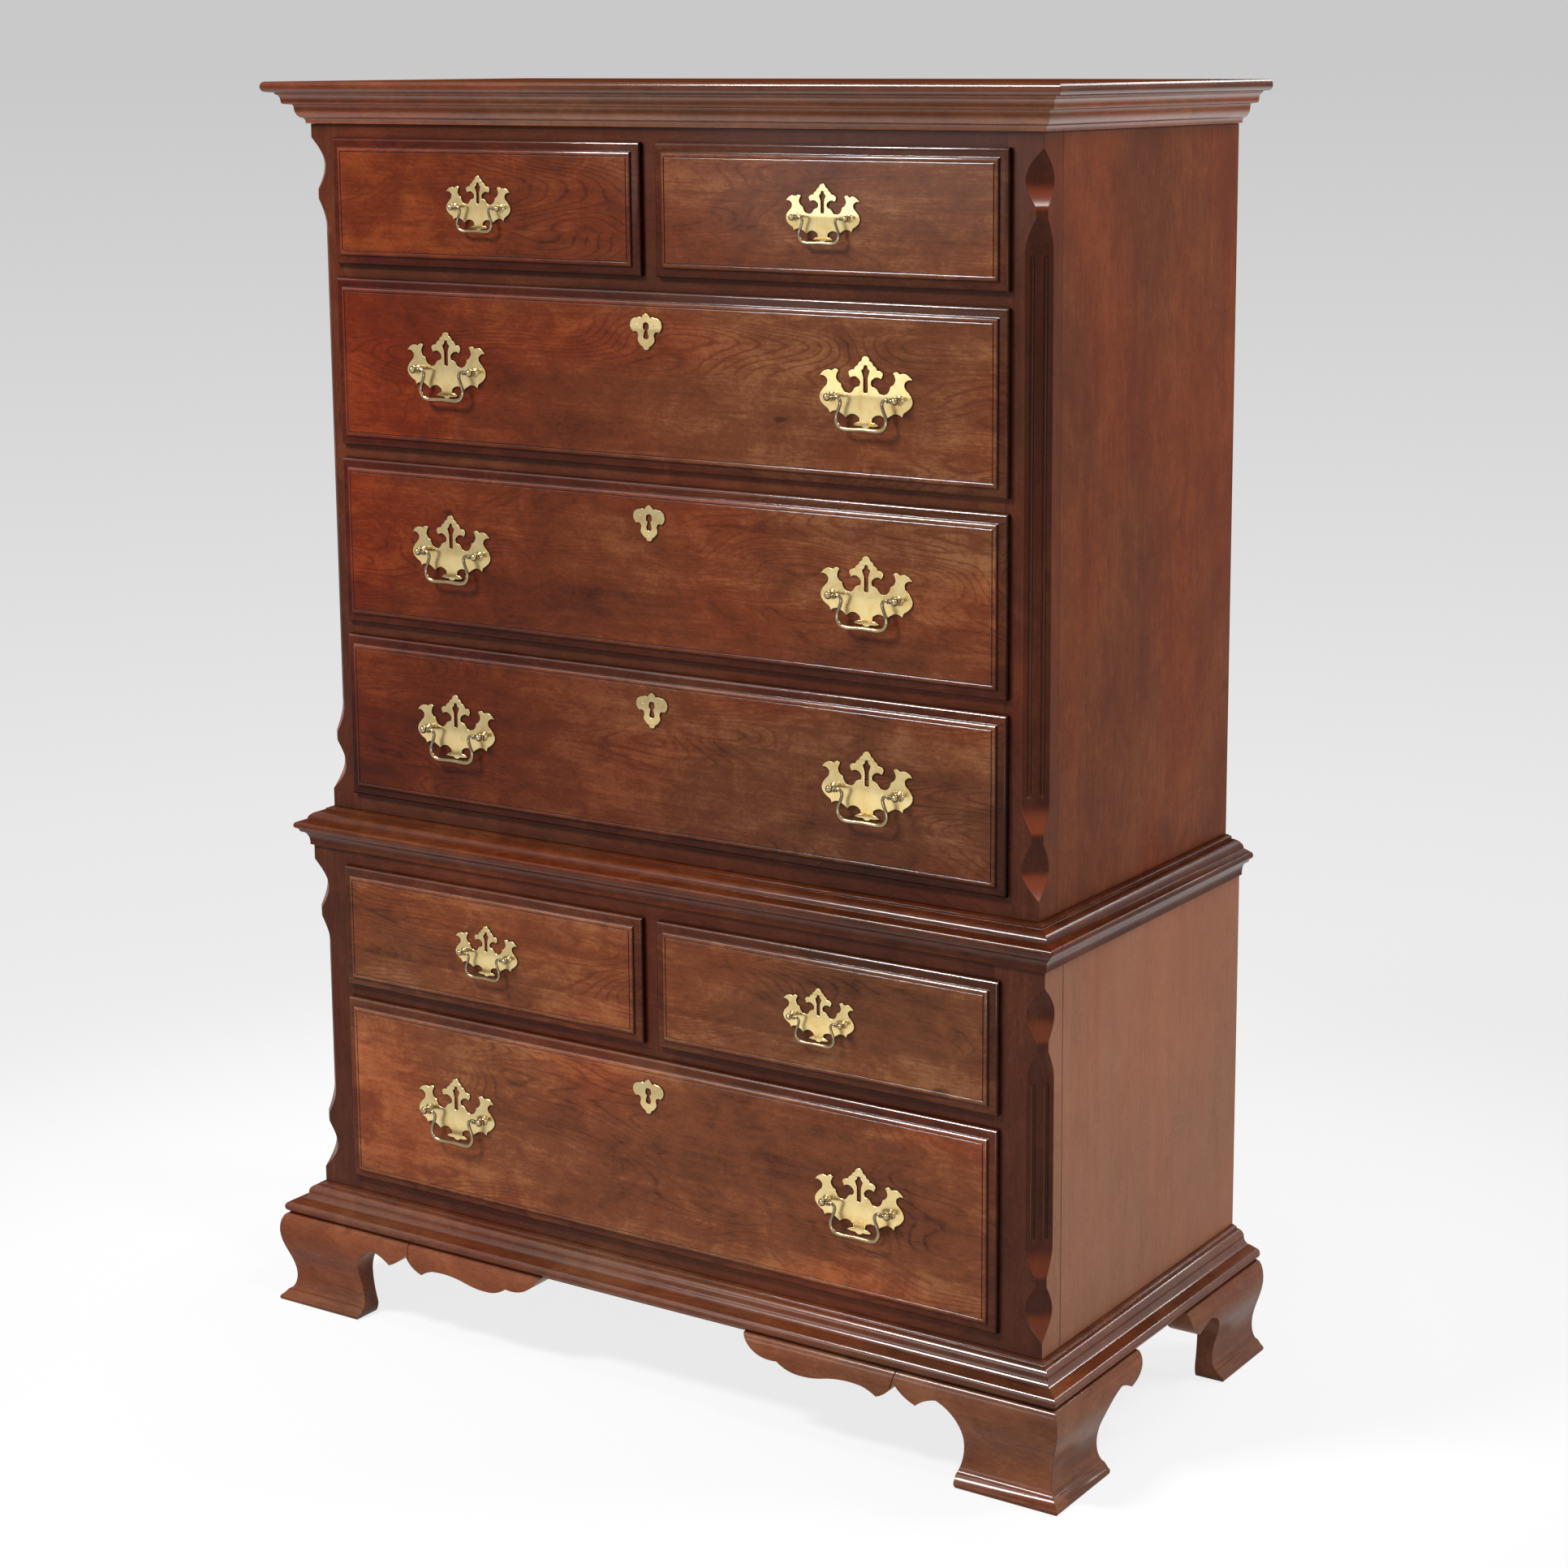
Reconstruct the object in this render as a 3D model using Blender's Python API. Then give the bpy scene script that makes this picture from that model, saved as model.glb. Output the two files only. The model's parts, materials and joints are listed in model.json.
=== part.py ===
"""Chest-on-chest with canted, fluted corners, ogee bracket feet and pierced brass pulls.

Sizes are in metres. The front faces -Y, +X is the viewer's right, +Z is up, and the floor is at
height nought under the middle of the piece.
"""

import math

import bpy
from mathutils import Vector
from mathutils.geometry import tessellate_polygon

# Clearances
SEAM = 0.0003
DRAWER_SIDE_CLEARANCE = 0.0010
DRAWER_TOP_CLEARANCE = 0.0030
LIP_GAP = 0.0008
PIVOT_CLEARANCE = 0.0003

# Cases
UPPER_WIDTH = 0.964
UPPER_DEPTH = 0.439
CASE_STEP = 0.018
UPPER_SIDE_MARGIN = 0.036
LOWER_SIDE_MARGIN = 0.052
POST_DEPTH = 0.039
SIDE_THICKNESS = 0.020
BACK_THICKNESS = 0.012
BOARD_THICKNESS = 0.018

# Drawer rows, as seen from the front
RAIL_FACE = 0.0160
CENTRE_STILE_FACE = 0.020
UPPER_TOP_MARGIN = 0.0156
UPPER_SMALL_ROW = 0.1430
UPPER_LARGE_ROW = 0.1925
UPPER_LARGE_ROWS = 3
UPPER_BOTTOM_MARGIN = 0.0221
LOWER_TOP_MARGIN = 0.0171
LOWER_SMALL_ROW = 0.1455
LOWER_LARGE_ROW = 0.2255
LOWER_LARGE_ROWS = 1
LOWER_BOTTOM_MARGIN = 0.0184

# Drawers
LIP_OVERLAP = 0.007
LIP_EDGE = 0.0030
BEAD_WIDTH = 0.0045
BEAD_RISE = 0.0030
FILLET_WIDTH = 0.0055
FILLET_RISE = 0.0004
OVOLO_WIDTH = 0.0047
OVOLO_RISE = 0.0033
QUIRK_WIDTH = 0.0012
QUIRK_DEPTH = 0.0008
TONGUE_DEPTH = 0.010
BOX_WALL = 0.012
BOX_BOTTOM = 0.008
BOX_BOTTOM_RAISE = 0.006
BOX_REAR_CLEARANCE = 0.010
RUNNER_HEIGHT = 0.018
RUNNER_REACH = 0.014
RUNNER_DROP = 0.0002

# Canted corners
CANT = 0.021
CANT_NECK = 0.0088
STOP_SCOOP = 0.0315
STOP_RELEASE = 0.0275
STOP_NECK = 0.011
STOP_RETURN = 0.033
FLUTE_WIDTH = 0.0055
FLUTE_DEPTH = 0.0022
FLUTE_OFFSET = 0.0070
FLUTE_TIP = 0.005
FLUTE_POINT = 0.125
FLUTE_MARGIN = 0.003

# Mouldings, each a start past the case and then members from the bottom up: shape, run, rise
CORNICE_START = 0.0010
CORNICE = (
    ("flat", 0.0030, 0.0004),
    ("flat", 0.0004, 0.0032),
    ("flat", 0.0014, 0.0026),
    ("out first", 0.0076, 0.0128),
    ("flat", 0.0010, 0.0024),
    ("flat", 0.0084, 0.0012),
    ("flat", 0.0008, 0.0022),
    ("up first", 0.0044, 0.0084),
    ("flat", 0.0006, 0.0020),
    ("flat", 0.0074, 0.0008),
    ("nose", 0.0040, 0.0118),
)
WAIST_START = 0.0005
WAIST = (
    ("flat", 0.0027, 0.0008),
    ("flat", 0.0000, 0.0026),
    ("up first", 0.0078, 0.0136),
    ("flat", 0.0022, 0.0040),
    ("nose", 0.0038, 0.0084),
    ("flat", -0.0082, 0.0030),
    ("up first", -0.0155, 0.0092),
    ("flat", -0.0001, 0.0026),
    ("flat", -0.0044, 0.0018),
)
BASE_START = 0.0314
BASE = (
    ("flat", 0.0004, 0.0022),
    ("nose", 0.0042, 0.0114),
    ("flat", -0.0086, 0.0028),
    ("out first", -0.0082, 0.0086),
    ("up first", -0.0092, 0.0082),
    ("flat", -0.0004, 0.0020),
    ("flat", -0.0044, 0.0018),
)
FOOT_START = 0.0420
FOOT = (
    ("flat", 0.0010, 0.0016),
    ("flat", 0.0000, 0.0022),
    ("flat", -0.0016, 0.0022),
    ("flat", -0.0012, 0.0004),
    ("flat", -0.0050, 0.0060),
    ("out first", -0.0077, 0.0176),
    ("swell", 0.0135, 0.0600),
    ("up first", -0.0086, 0.0205),
)
MOULDING_BORDER = 0.030

# Feet: thickness of their stock, width at the toe, and the outline of each bracket from its free end
# to the toe: distance from the toe, height, bulge of the wood
FOOT_STOCK = 0.036
TOE_WIDTH = 0.125
SIDE_TOE_WIDTH = 0.118
REAR_TOE_WIDTH = 0.107
FRONT_BRACKET = (
    (0.277, 0.1125, 0.0),
    (0.228, 0.0885, 0.0092),
    (0.1985, 0.0785, 0.0026),
    (0.168, 0.0825, 0.0012),
    (0.118, 0.0862, -0.0026),
    (0.100, 0.0778, -0.0010),
    (0.0765, 0.0977, 0.0028),
    (0.050, 0.0795, 0.0018),
    (0.024, 0.0920, -0.0022),
    (-0.0050, 0.0500, -0.0095),
    (0.0020, 0.0130, -0.0012),
    (-0.0015, 0.0, 0.0012),
)
SIDE_BRACKET = (
    (0.079, 0.1125, 0.0),
    (0.055, 0.0778, 0.0085),
    (0.030, 0.0885, -0.0010),
    (-0.0045, 0.0550, -0.0075),
    (0.0005, 0.0130, -0.0008),
    (-0.0015, 0.0, 0.0010),
)
BRACKET_JOINT_TOP = 0.0750
BRACKET_JOINT_FOOT = 0.0815
BRACKET_JOINT_LOW = 0.0920
BRACKET_JOINT_WIDTH = 0.0010
BRACKET_JOINT_DEPTH = 0.0125
CUTTER_MARGIN = 0.010

# Pulls
PULL_BORE = 0.0825
SMALL_PULL_SCALE = 0.80
PULL_INSET = 0.166
PULL_DROP = 0.0025
PLATE_THICKNESS = 0.0016
POST_REACH = 0.0087
POST_SIDES = 7
BAIL_PIN_RADIUS = 0.0016
BAIL_GRIP_RADIUS = 0.0023
BAIL_SIDES = 6
PIN_REACH = 0.0012

# Right half of the pull plate, from its crest clockwise to its lowest point: x, z, bulge
PLATE = (
    (0.0000, 0.0435, 0.0),
    (0.0050, 0.0388, 0.0016),
    (0.0095, 0.0342, 0.0010),
    (0.0143, 0.0292, 0.0010),
    (0.0188, 0.0206, 0.0046),
    (0.0088, 0.0200, -0.0018),
    (0.0082, 0.0123, -0.0020),
    (0.0138, 0.0102, 0.0004),
    (0.0263, 0.0063, -0.0036),
    (0.0300, 0.0138, -0.0008),
    (0.0362, 0.0208, -0.0014),
    (0.0332, 0.0276, -0.0005),
    (0.0415, 0.0268, 0.0018),
    (0.0563, 0.0212, 0.0032),
    (0.0473, 0.0175, -0.0016),
    (0.0493, 0.0108, -0.0009),
    (0.0468, -0.0128, 0.0088),
    (0.0445, -0.0175, -0.0006),
    (0.0350, -0.0146, -0.0010),
    (0.0245, -0.0210, -0.0005),
    (0.0080, -0.0205, -0.0038),
    (0.0074, -0.0250, 0.0),
    (0.0155, -0.0280, 0.0009),
    (0.0050, -0.0292, 0.0006),
    (0.0000, -0.0315, 0.0005),
)
PLATE_KEYHOLE = (
    (0.0000, 0.0340, 0.0),
    (0.0024, 0.0310, 0.0009),
    (0.0050, 0.0284, 0.0),
    (0.0026, 0.0215, 0.0),
    (0.0026, 0.0080, 0.0),
    (0.0000, 0.0056, 0.0010),
)
ESCUTCHEON_THICKNESS = 0.0016
ESCUTCHEON_DROP = 0.042
ESCUTCHEON = (
    (0.0000, 0.0198, 0.0),
    (0.0056, 0.0146, 0.0010),
    (0.0120, 0.0148, 0.0009),
    (0.0200, 0.0112, 0.0011),
    (0.0168, -0.0010, 0.0026),
    (0.0102, -0.0045, -0.0022),
    (0.0112, -0.0100, 0.0003),
    (0.0038, -0.0172, 0.0009),
    (0.0000, -0.0202, 0.0012),
)
ESCUTCHEON_KEYHOLE = (
    (0.0000, 0.0095, 0.0),
    (0.0038, 0.0058, 0.0014),
    (0.0017, 0.0014, 0.0010),
    (0.0036, -0.0052, 0.0),
    (0.0000, -0.0088, 0.0010),
)
# Turned post: share of the reach from the plate, radius
POST = (
    (0.0, 0.0052),
    (0.16, 0.0052),
    (0.38, 0.0028),
    (0.78, 0.0043),
    (1.22, 0.0043),
    (1.55, 0.0022),
)
# Half of the bail, from the pivot inwards and down to the middle of the grip: x from the post, z,
# share of thickness
BAIL = (
    (0.0060, 0.0000, 0.0),
    (0.0108, 0.0008, 0.1),
    (0.0148, -0.0012, 0.2),
    (0.0158, -0.0050, 0.3),
    (0.0142, -0.0105, 0.3),
    (0.0110, -0.0185, 0.4),
    (0.0112, -0.0250, 0.6),
    (0.0150, -0.0302, 0.8),
    (0.0215, -0.0322, 0.9),
    (0.0412, -0.0328, 1.0),
)

# Fineness of the curves
ROUND_STEPS = 3
STOP_STEPS = 4
FLUTE_SIDES = 12
ARC_ERROR = 0.00045
FOOT_ARC_ERROR = 0.00015
SMOOTH_ANGLE = math.radians(38)
BAIL_SMOOTH_ANGLE = math.radians(80)

SHAPES = {
    "flat": (1, lambda t: (t, t)),
    "out first": (4, lambda t: (math.sin(t * math.pi / 2), 1 - math.cos(t * math.pi / 2))),
    "up first": (4, lambda t: (1 - math.cos(t * math.pi / 2), math.sin(t * math.pi / 2))),
    "nose": (5, lambda t: (math.sin(t * math.pi), (1 - math.cos(t * math.pi)) / 2)),
    "swell": (6, lambda t: ((1 - math.cos(t * math.pi)) / 2, t)),
}


def total_rise(members):
    return sum(rise for _, _, rise in members)


# Levels and faces that follow from the sizes above
UPPER_FACE = (
    UPPER_TOP_MARGIN
    + UPPER_SMALL_ROW
    + UPPER_LARGE_ROWS * (RAIL_FACE + UPPER_LARGE_ROW)
    + UPPER_BOTTOM_MARGIN
)
LOWER_FACE = (
    LOWER_TOP_MARGIN
    + LOWER_SMALL_ROW
    + LOWER_LARGE_ROWS * (RAIL_FACE + LOWER_LARGE_ROW)
    + LOWER_BOTTOM_MARGIN
)
FOOT_TOP = total_rise(FOOT)
BASE_TOP = FOOT_TOP + total_rise(BASE)
LOWER_TOP = BASE_TOP + LOWER_FACE
UPPER_BOTTOM = LOWER_TOP + total_rise(WAIST)
UPPER_TOP = UPPER_BOTTOM + UPPER_FACE
UPPER_HALF = UPPER_WIDTH / 2
LOWER_HALF = UPPER_HALF + CASE_STEP
LOWER_DEPTH = UPPER_DEPTH + CASE_STEP
PULL_OFFSET = UPPER_HALF - UPPER_SIDE_MARGIN - PULL_INSET


def profile(start, members):
    """Points (overhang, height) along a moulding, from its lower edge up."""
    points = [(start, 0.0)]
    for shape, run, rise in members:
        steps, curve = SHAPES[shape]
        out, up = points[-1]
        for k in range(1, steps + 1):
            along, above = curve(k / steps)
            points.append((out + run * along, up + rise * above))
    return points


FOOT_PROFILE = profile(FOOT_START, FOOT)
FOOT_REACH = max(out for out, _ in FOOT_PROFILE)
BACK = (LOWER_DEPTH + FOOT_REACH) / 2
LOWER_FRONT = BACK - LOWER_DEPTH
UPPER_FRONT = BACK - UPPER_DEPTH


def clear_scene():
    for old in list(bpy.data.objects):
        bpy.data.objects.remove(old, do_unlink=True)


def principled(name, colour, roughness, metallic=0.0):
    material = bpy.data.materials.new(name)
    material.use_nodes = True
    material.diffuse_color = (*colour, 1.0)
    shader = material.node_tree.nodes["Principled BSDF"]
    shader.inputs["Base Color"].default_value = (*colour, 1.0)
    shader.inputs["Roughness"].default_value = roughness
    shader.inputs["Metallic"].default_value = metallic
    return material


def mesh_from(name, points, faces):
    mesh = bpy.data.meshes.new(name)
    mesh.from_pydata([tuple(p) for p in points], [], faces)
    mesh.validate()
    mesh.update()
    return mesh


def signed_volume(points, faces):
    total = 0.0
    for face in faces:
        first = Vector(points[face[0]])
        for k in range(1, len(face) - 1):
            total += first.dot(Vector(points[face[k]]).cross(Vector(points[face[k + 1]])))
    return total


def outward(points, faces):
    """The faces, all turned to face out."""
    if signed_volume(points, faces) < 0:
        return [tuple(reversed(face)) for face in faces]
    return faces


def ring_body(name, rings):
    """A closed body through rings of equal length, capped at both ends."""
    size = len(rings[0])
    points = [p for ring in rings for p in ring]
    faces = [tuple(range(size)), tuple(range(len(points) - 1, len(points) - size - 1, -1))]
    for r in range(len(rings) - 1):
        low, high = r * size, (r + 1) * size
        for k in range(size):
            n = (k + 1) % size
            faces.append((low + n, low + k, high + k, high + n))
    return mesh_from(name, points, outward(points, faces))


def box_parts(boxes):
    """Points and faces of separate boxes, each a low and a high corner."""
    points, faces = [], []
    for (x0, y0, z0), (x1, y1, z1) in boxes:
        n = len(points)
        points += [
            (x0, y0, z0), (x1, y0, z0), (x1, y1, z0), (x0, y1, z0),
            (x0, y0, z1), (x1, y0, z1), (x1, y1, z1), (x0, y1, z1),
        ]
        sides = ((3, 2, 1, 0), (4, 5, 6, 7), (0, 1, 5, 4), (1, 2, 6, 5), (2, 3, 7, 6), (3, 0, 4, 7))
        faces += [tuple(n + k for k in side) for side in sides]
    return points, faces


def box_mesh(name, *boxes):
    return mesh_from(name, *box_parts(boxes))


def joined_mesh(name, meshes):
    """One mesh of several separate bodies."""
    points, faces = [], []
    for mesh in meshes:
        start = len(points)
        points += [tuple(v.co) for v in mesh.vertices]
        faces += [tuple(start + k for k in face.vertices) for face in mesh.polygons]
        bpy.data.meshes.remove(mesh)
    return mesh_from(name, points, faces)


def arc_chain(knots, error=ARC_ERROR):
    """Points along arcs through the knots. A bulge is to the left of the way travelled."""
    points = [Vector(knots[0][:2])]
    for x, z, bulge in knots[1:]:
        start, end = points[-1].copy(), Vector((x, z))
        steps = max(1, round(math.sqrt(abs(bulge) / error)))
        chord = end - start
        left = Vector((-chord.y, chord.x)).normalized()
        for k in range(1, steps + 1):
            t = k / steps
            points.append(start + chord * t + left * (4 * bulge * t * (1 - t)))
    return points


def mirrored_outline(knots):
    half = arc_chain(knots)
    return half + [Vector((-p.x, p.y)) for p in reversed(half[1:-1])]


def scaled(knots, scale):
    return [tuple(value * scale for value in knot) for knot in knots]


def sheet_mesh(name, outlines, place, near, far):
    """A sheet cut to outlines, the first one its edge and the rest holes. place(u, v, w) gives a point."""
    flat = [p for outline in outlines for p in outline]
    triangles = tessellate_polygon([[Vector((p.x, p.y, 0)) for p in outline] for outline in outlines])
    count = len(flat)
    points = [place(p.x, p.y, near) for p in flat] + [place(p.x, p.y, far) for p in flat]
    faces = []
    for a, b, c in triangles:
        turn = (flat[b] - flat[a]).cross(flat[c] - flat[a])
        a, b = (a, b) if turn > 0 else (b, a)
        faces += [(a, b, c), (count + c, count + b, count + a)]
    start = 0
    for outline in outlines:
        size = len(outline)
        area = sum(outline[k - 1].cross(outline[k]) for k in range(size))
        turned = (area > 0) == (outline is outlines[0])
        for k in range(size):
            low, high = start + k, start + (k + 1) % size
            low, high = (low, high) if turned else (high, low)
            faces.append((high, low, count + low, count + high))
        start += size
    return mesh_from(name, points, outward(points, faces))


def combine(obj, mesh, operation):
    """Cuts the mesh, given in the object's own frame, from the object, or joins it on."""
    tool = bpy.data.objects.new(obj.name + " tool", mesh)
    bpy.context.scene.collection.objects.link(tool)
    tool.parent = obj
    change = obj.modifiers.new("shape", "BOOLEAN")
    change.solver = "EXACT"
    change.operation = operation
    change.object = tool
    bpy.context.view_layer.update()
    result = bpy.data.meshes.new_from_object(obj.evaluated_get(bpy.context.evaluated_depsgraph_get()))
    obj.modifiers.clear()
    before = obj.data
    obj.data = result
    bpy.data.meshes.remove(before)
    bpy.data.objects.remove(tool)
    bpy.data.meshes.remove(mesh)


def add_object(name, mesh, material=None, parent=None, location=(0, 0, 0)):
    """An object of the mesh. A mesh that several objects share already has its material."""
    obj = bpy.data.objects.new(name, mesh)
    bpy.context.scene.collection.objects.link(obj)
    if material:
        mesh.materials.clear()
        mesh.materials.append(material)
    obj.parent = parent
    obj.location = location
    return obj


def add_empty(name, location=(0, 0, 0), parent=None):
    empty = bpy.data.objects.new(name, None)
    empty.empty_display_size = 0.03
    bpy.context.scene.collection.objects.link(empty)
    empty.parent = parent
    empty.location = location
    return empty


def soften(obj):
    """Shades the curved faces smooth and keeps the edges."""
    obj.data.shade_smooth()
    obj.data.set_sharp_from_angle(angle=SMOOTH_ANGLE)


def add_moulding(name, start, members, half, front, bottom, material):
    """A mitred moulding round the front and sides of the case, with a board across its top."""
    points = profile(start, members)
    top = bottom + points[-1][1]

    def ring(out, height):
        x, y = half + out, front - out
        return [(-x, BACK, height), (-x, y, height), (x, y, height), (x, BACK, height)]

    def inner(height):
        x, y = half - MOULDING_BORDER, front + MOULDING_BORDER
        rear = BACK - MOULDING_BORDER
        return [(-x, rear, height), (-x, y, height), (x, y, height), (x, rear, height)]

    rings = [inner(top - BOARD_THICKNESS), inner(bottom + SEAM), ring(start, bottom + SEAM)]
    rings += [ring(out, bottom + height) for out, height in points[1:]]
    obj = add_object(name, ring_body(name, rings), material)
    soften(obj)
    return obj


def stop_points(end, way):
    """Points (cut width, height) of one carved stop, from the sharp corner to the plain cant."""
    turns = [k / STOP_STEPS for k in range(STOP_STEPS + 1)]
    points = [(CANT * math.sin(t * math.pi / 2), end + way * STOP_SCOOP * t) for t in turns]
    for t in turns[1:]:
        cut = CANT - (CANT - CANT_NECK) * (1 - math.cos(t * math.pi / 2))
        points.append((cut, end + way * (STOP_SCOOP + STOP_RELEASE * t)))
    neck_end = STOP_SCOOP + STOP_RELEASE + STOP_NECK
    for t in turns:
        cut = CANT_NECK + (CANT - CANT_NECK) * math.sin(t * math.pi / 2)
        points.append((cut, end + way * (neck_end + STOP_RETURN * t)))
    return points


STOP_LENGTH = STOP_SCOOP + STOP_RELEASE + STOP_NECK + STOP_RETURN


def cant_cutter(side, half, front, low, high):
    """What is carved off one front corner between the heights low and high."""
    outline = stop_points(low, 1) + list(reversed(stop_points(high, -1)))
    outline = [Vector((cut / math.sqrt(2), height)) for cut, height in outline]
    outline += [Vector((-CUTTER_MARGIN, high)), Vector((-CUTTER_MARGIN, low))]

    def place(depth, height, along):
        x = half + (along - depth) / math.sqrt(2)
        y = front + (along + depth) / math.sqrt(2)
        return (side * x, y, height)

    return sheet_mesh("cant", [outline], place, -2 * CANT, 2 * CANT)


def flute_cutter(side, half, front, low, high, offset):
    """A slim spindle along the cant, whose inner part cuts one flute."""
    radius = (FLUTE_WIDTH**2 / 4 + FLUTE_DEPTH**2) / (2 * FLUTE_DEPTH)
    depth = CANT / math.sqrt(2) - (radius - FLUTE_DEPTH)
    x = side * (half + (offset - depth) / math.sqrt(2))
    y = front + (offset + depth) / math.sqrt(2)
    tip = radius * FLUTE_POINT
    turns = [(k + 0.5) * math.tau / FLUTE_SIDES for k in range(FLUTE_SIDES)]
    rings = []
    for height, size in ((low, tip), (low + FLUTE_TIP, radius), (high - FLUTE_TIP, radius), (high, tip)):
        rings.append([(x + size * math.cos(a), y + size * math.sin(a), height) for a in turns])
    return ring_body("flute", rings)


class Row:
    """One row of drawers: its lip edges and the opening behind them."""

    def __init__(self, name, top, height, half, count):
        self.name = name
        self.lip_high = top
        self.lip_low = top - height
        self.low = self.lip_low + LIP_OVERLAP
        self.high = self.lip_high - LIP_OVERLAP
        edge = half
        middle = CENTRE_STILE_FACE / 2
        self.lips = [(-edge, edge)] if count == 1 else [(-edge, -middle), (middle, edge)]
        self.openings = [(left + LIP_OVERLAP, right - LIP_OVERLAP) for left, right in self.lips]


def rows_of(case, top, margin, small, large, larges, half):
    rows = [Row(case + "_top", top - margin, small, half, 2)]
    for k in range(larges):
        rows.append(Row(f"{case}_row{k + 2}", rows[-1].lip_low - RAIL_FACE, large, half, 1))
    return rows


def add_face_frame(name, half, front, low, high, rows, material):
    """The posts, rails and centre stile, cut from one panel, with the partition between the half drawers."""
    rear = front + POST_DEPTH
    obj = add_object(name, box_mesh(name, ((-half, front, low + SEAM), (half, rear, high))), material)
    openings = [
        ((left, front - CUTTER_MARGIN, row.low), (right, rear + CUTTER_MARGIN, row.high))
        for row in rows
        for left, right in row.openings
    ]
    combine(obj, box_mesh("openings", *openings), "DIFFERENCE")
    top_row = rows[0]
    stile = top_row.openings[1][0]
    reach = stile + RUNNER_REACH
    end = BACK - BACK_THICKNESS - SEAM
    inside = rear - POST_DEPTH / 2
    top = top_row.low - RUNNER_DROP
    runner = box_mesh("runner", ((-reach, inside, top - RUNNER_HEIGHT), (reach, end, top)))
    combine(obj, runner, "UNION")
    partition = box_mesh(
        "partition",
        ((-stile, inside, top - RUNNER_HEIGHT / 2), (stile, end, top_row.high + LIP_OVERLAP / 2)),
    )
    combine(obj, partition, "UNION")
    arris_low, arris_high = rows[-1].lip_low, rows[0].lip_high
    sides = (-1, 1)
    cants = [cant_cutter(side, half, front, arris_low, arris_high) for side in sides]
    combine(obj, joined_mesh("cants", cants), "DIFFERENCE")
    ends = STOP_LENGTH + FLUTE_MARGIN
    flutes = [
        flute_cutter(side, half, front, arris_low + ends, arris_high - ends, offset)
        for side in sides
        for offset in (-FLUTE_OFFSET, FLUTE_OFFSET)
    ]
    combine(obj, joined_mesh("flutes", flutes), "DIFFERENCE")
    soften(obj)
    return obj


def add_side(name, side, half, front, low, high, rows, material):
    """A case side with the runners that carry the drawers."""
    start = front + POST_DEPTH + SEAM
    inner = half - SIDE_THICKNESS

    def ordered(x0, x1):
        return (min(side * x0, side * x1), max(side * x0, side * x1))

    left, right = ordered(inner, half)
    obj = add_object(name, box_mesh(name, ((left, start, low + SEAM), (right, BACK, high))), material)
    runners = []
    for row in rows:
        edge = row.openings[-1][1]
        left, right = ordered(edge - RUNNER_REACH, inner + SIDE_THICKNESS / 2)
        top = row.low - RUNNER_DROP
        end = BACK - BACK_THICKNESS - SEAM
        runners.append(((left, start, top - RUNNER_HEIGHT), (right, end, top)))
    combine(obj, box_mesh("runners", *runners), "UNION")
    return obj


def add_back(name, half, low, high, material):
    x = half - SIDE_THICKNESS - SEAM
    front = BACK - BACK_THICKNESS
    return add_object(name, box_mesh(name, ((-x, front, low + SEAM), (x, BACK, high))), material)


def add_case(case, half, front, low, high, rows, wood, back_wood):
    add_face_frame(case + "_face_frame", half, front, low, high, rows, wood)
    for side, word in ((-1, "left"), (1, "right")):
        add_side(f"{case}_side_{word}", side, half, front, low, high, rows, wood)
    add_back(case + "_back", half, low, high, back_wood)


def bracket_outline(knots, end):
    """The part of the foot blank to cut away: u is the distance in from the toe, v the height."""
    outer = [Vector((end, -CUTTER_MARGIN)), Vector((end, knots[0][1]))]
    return outer + arc_chain(knots, FOOT_ARC_ERROR) + [Vector((0.0, -CUTTER_MARGIN))]


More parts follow.
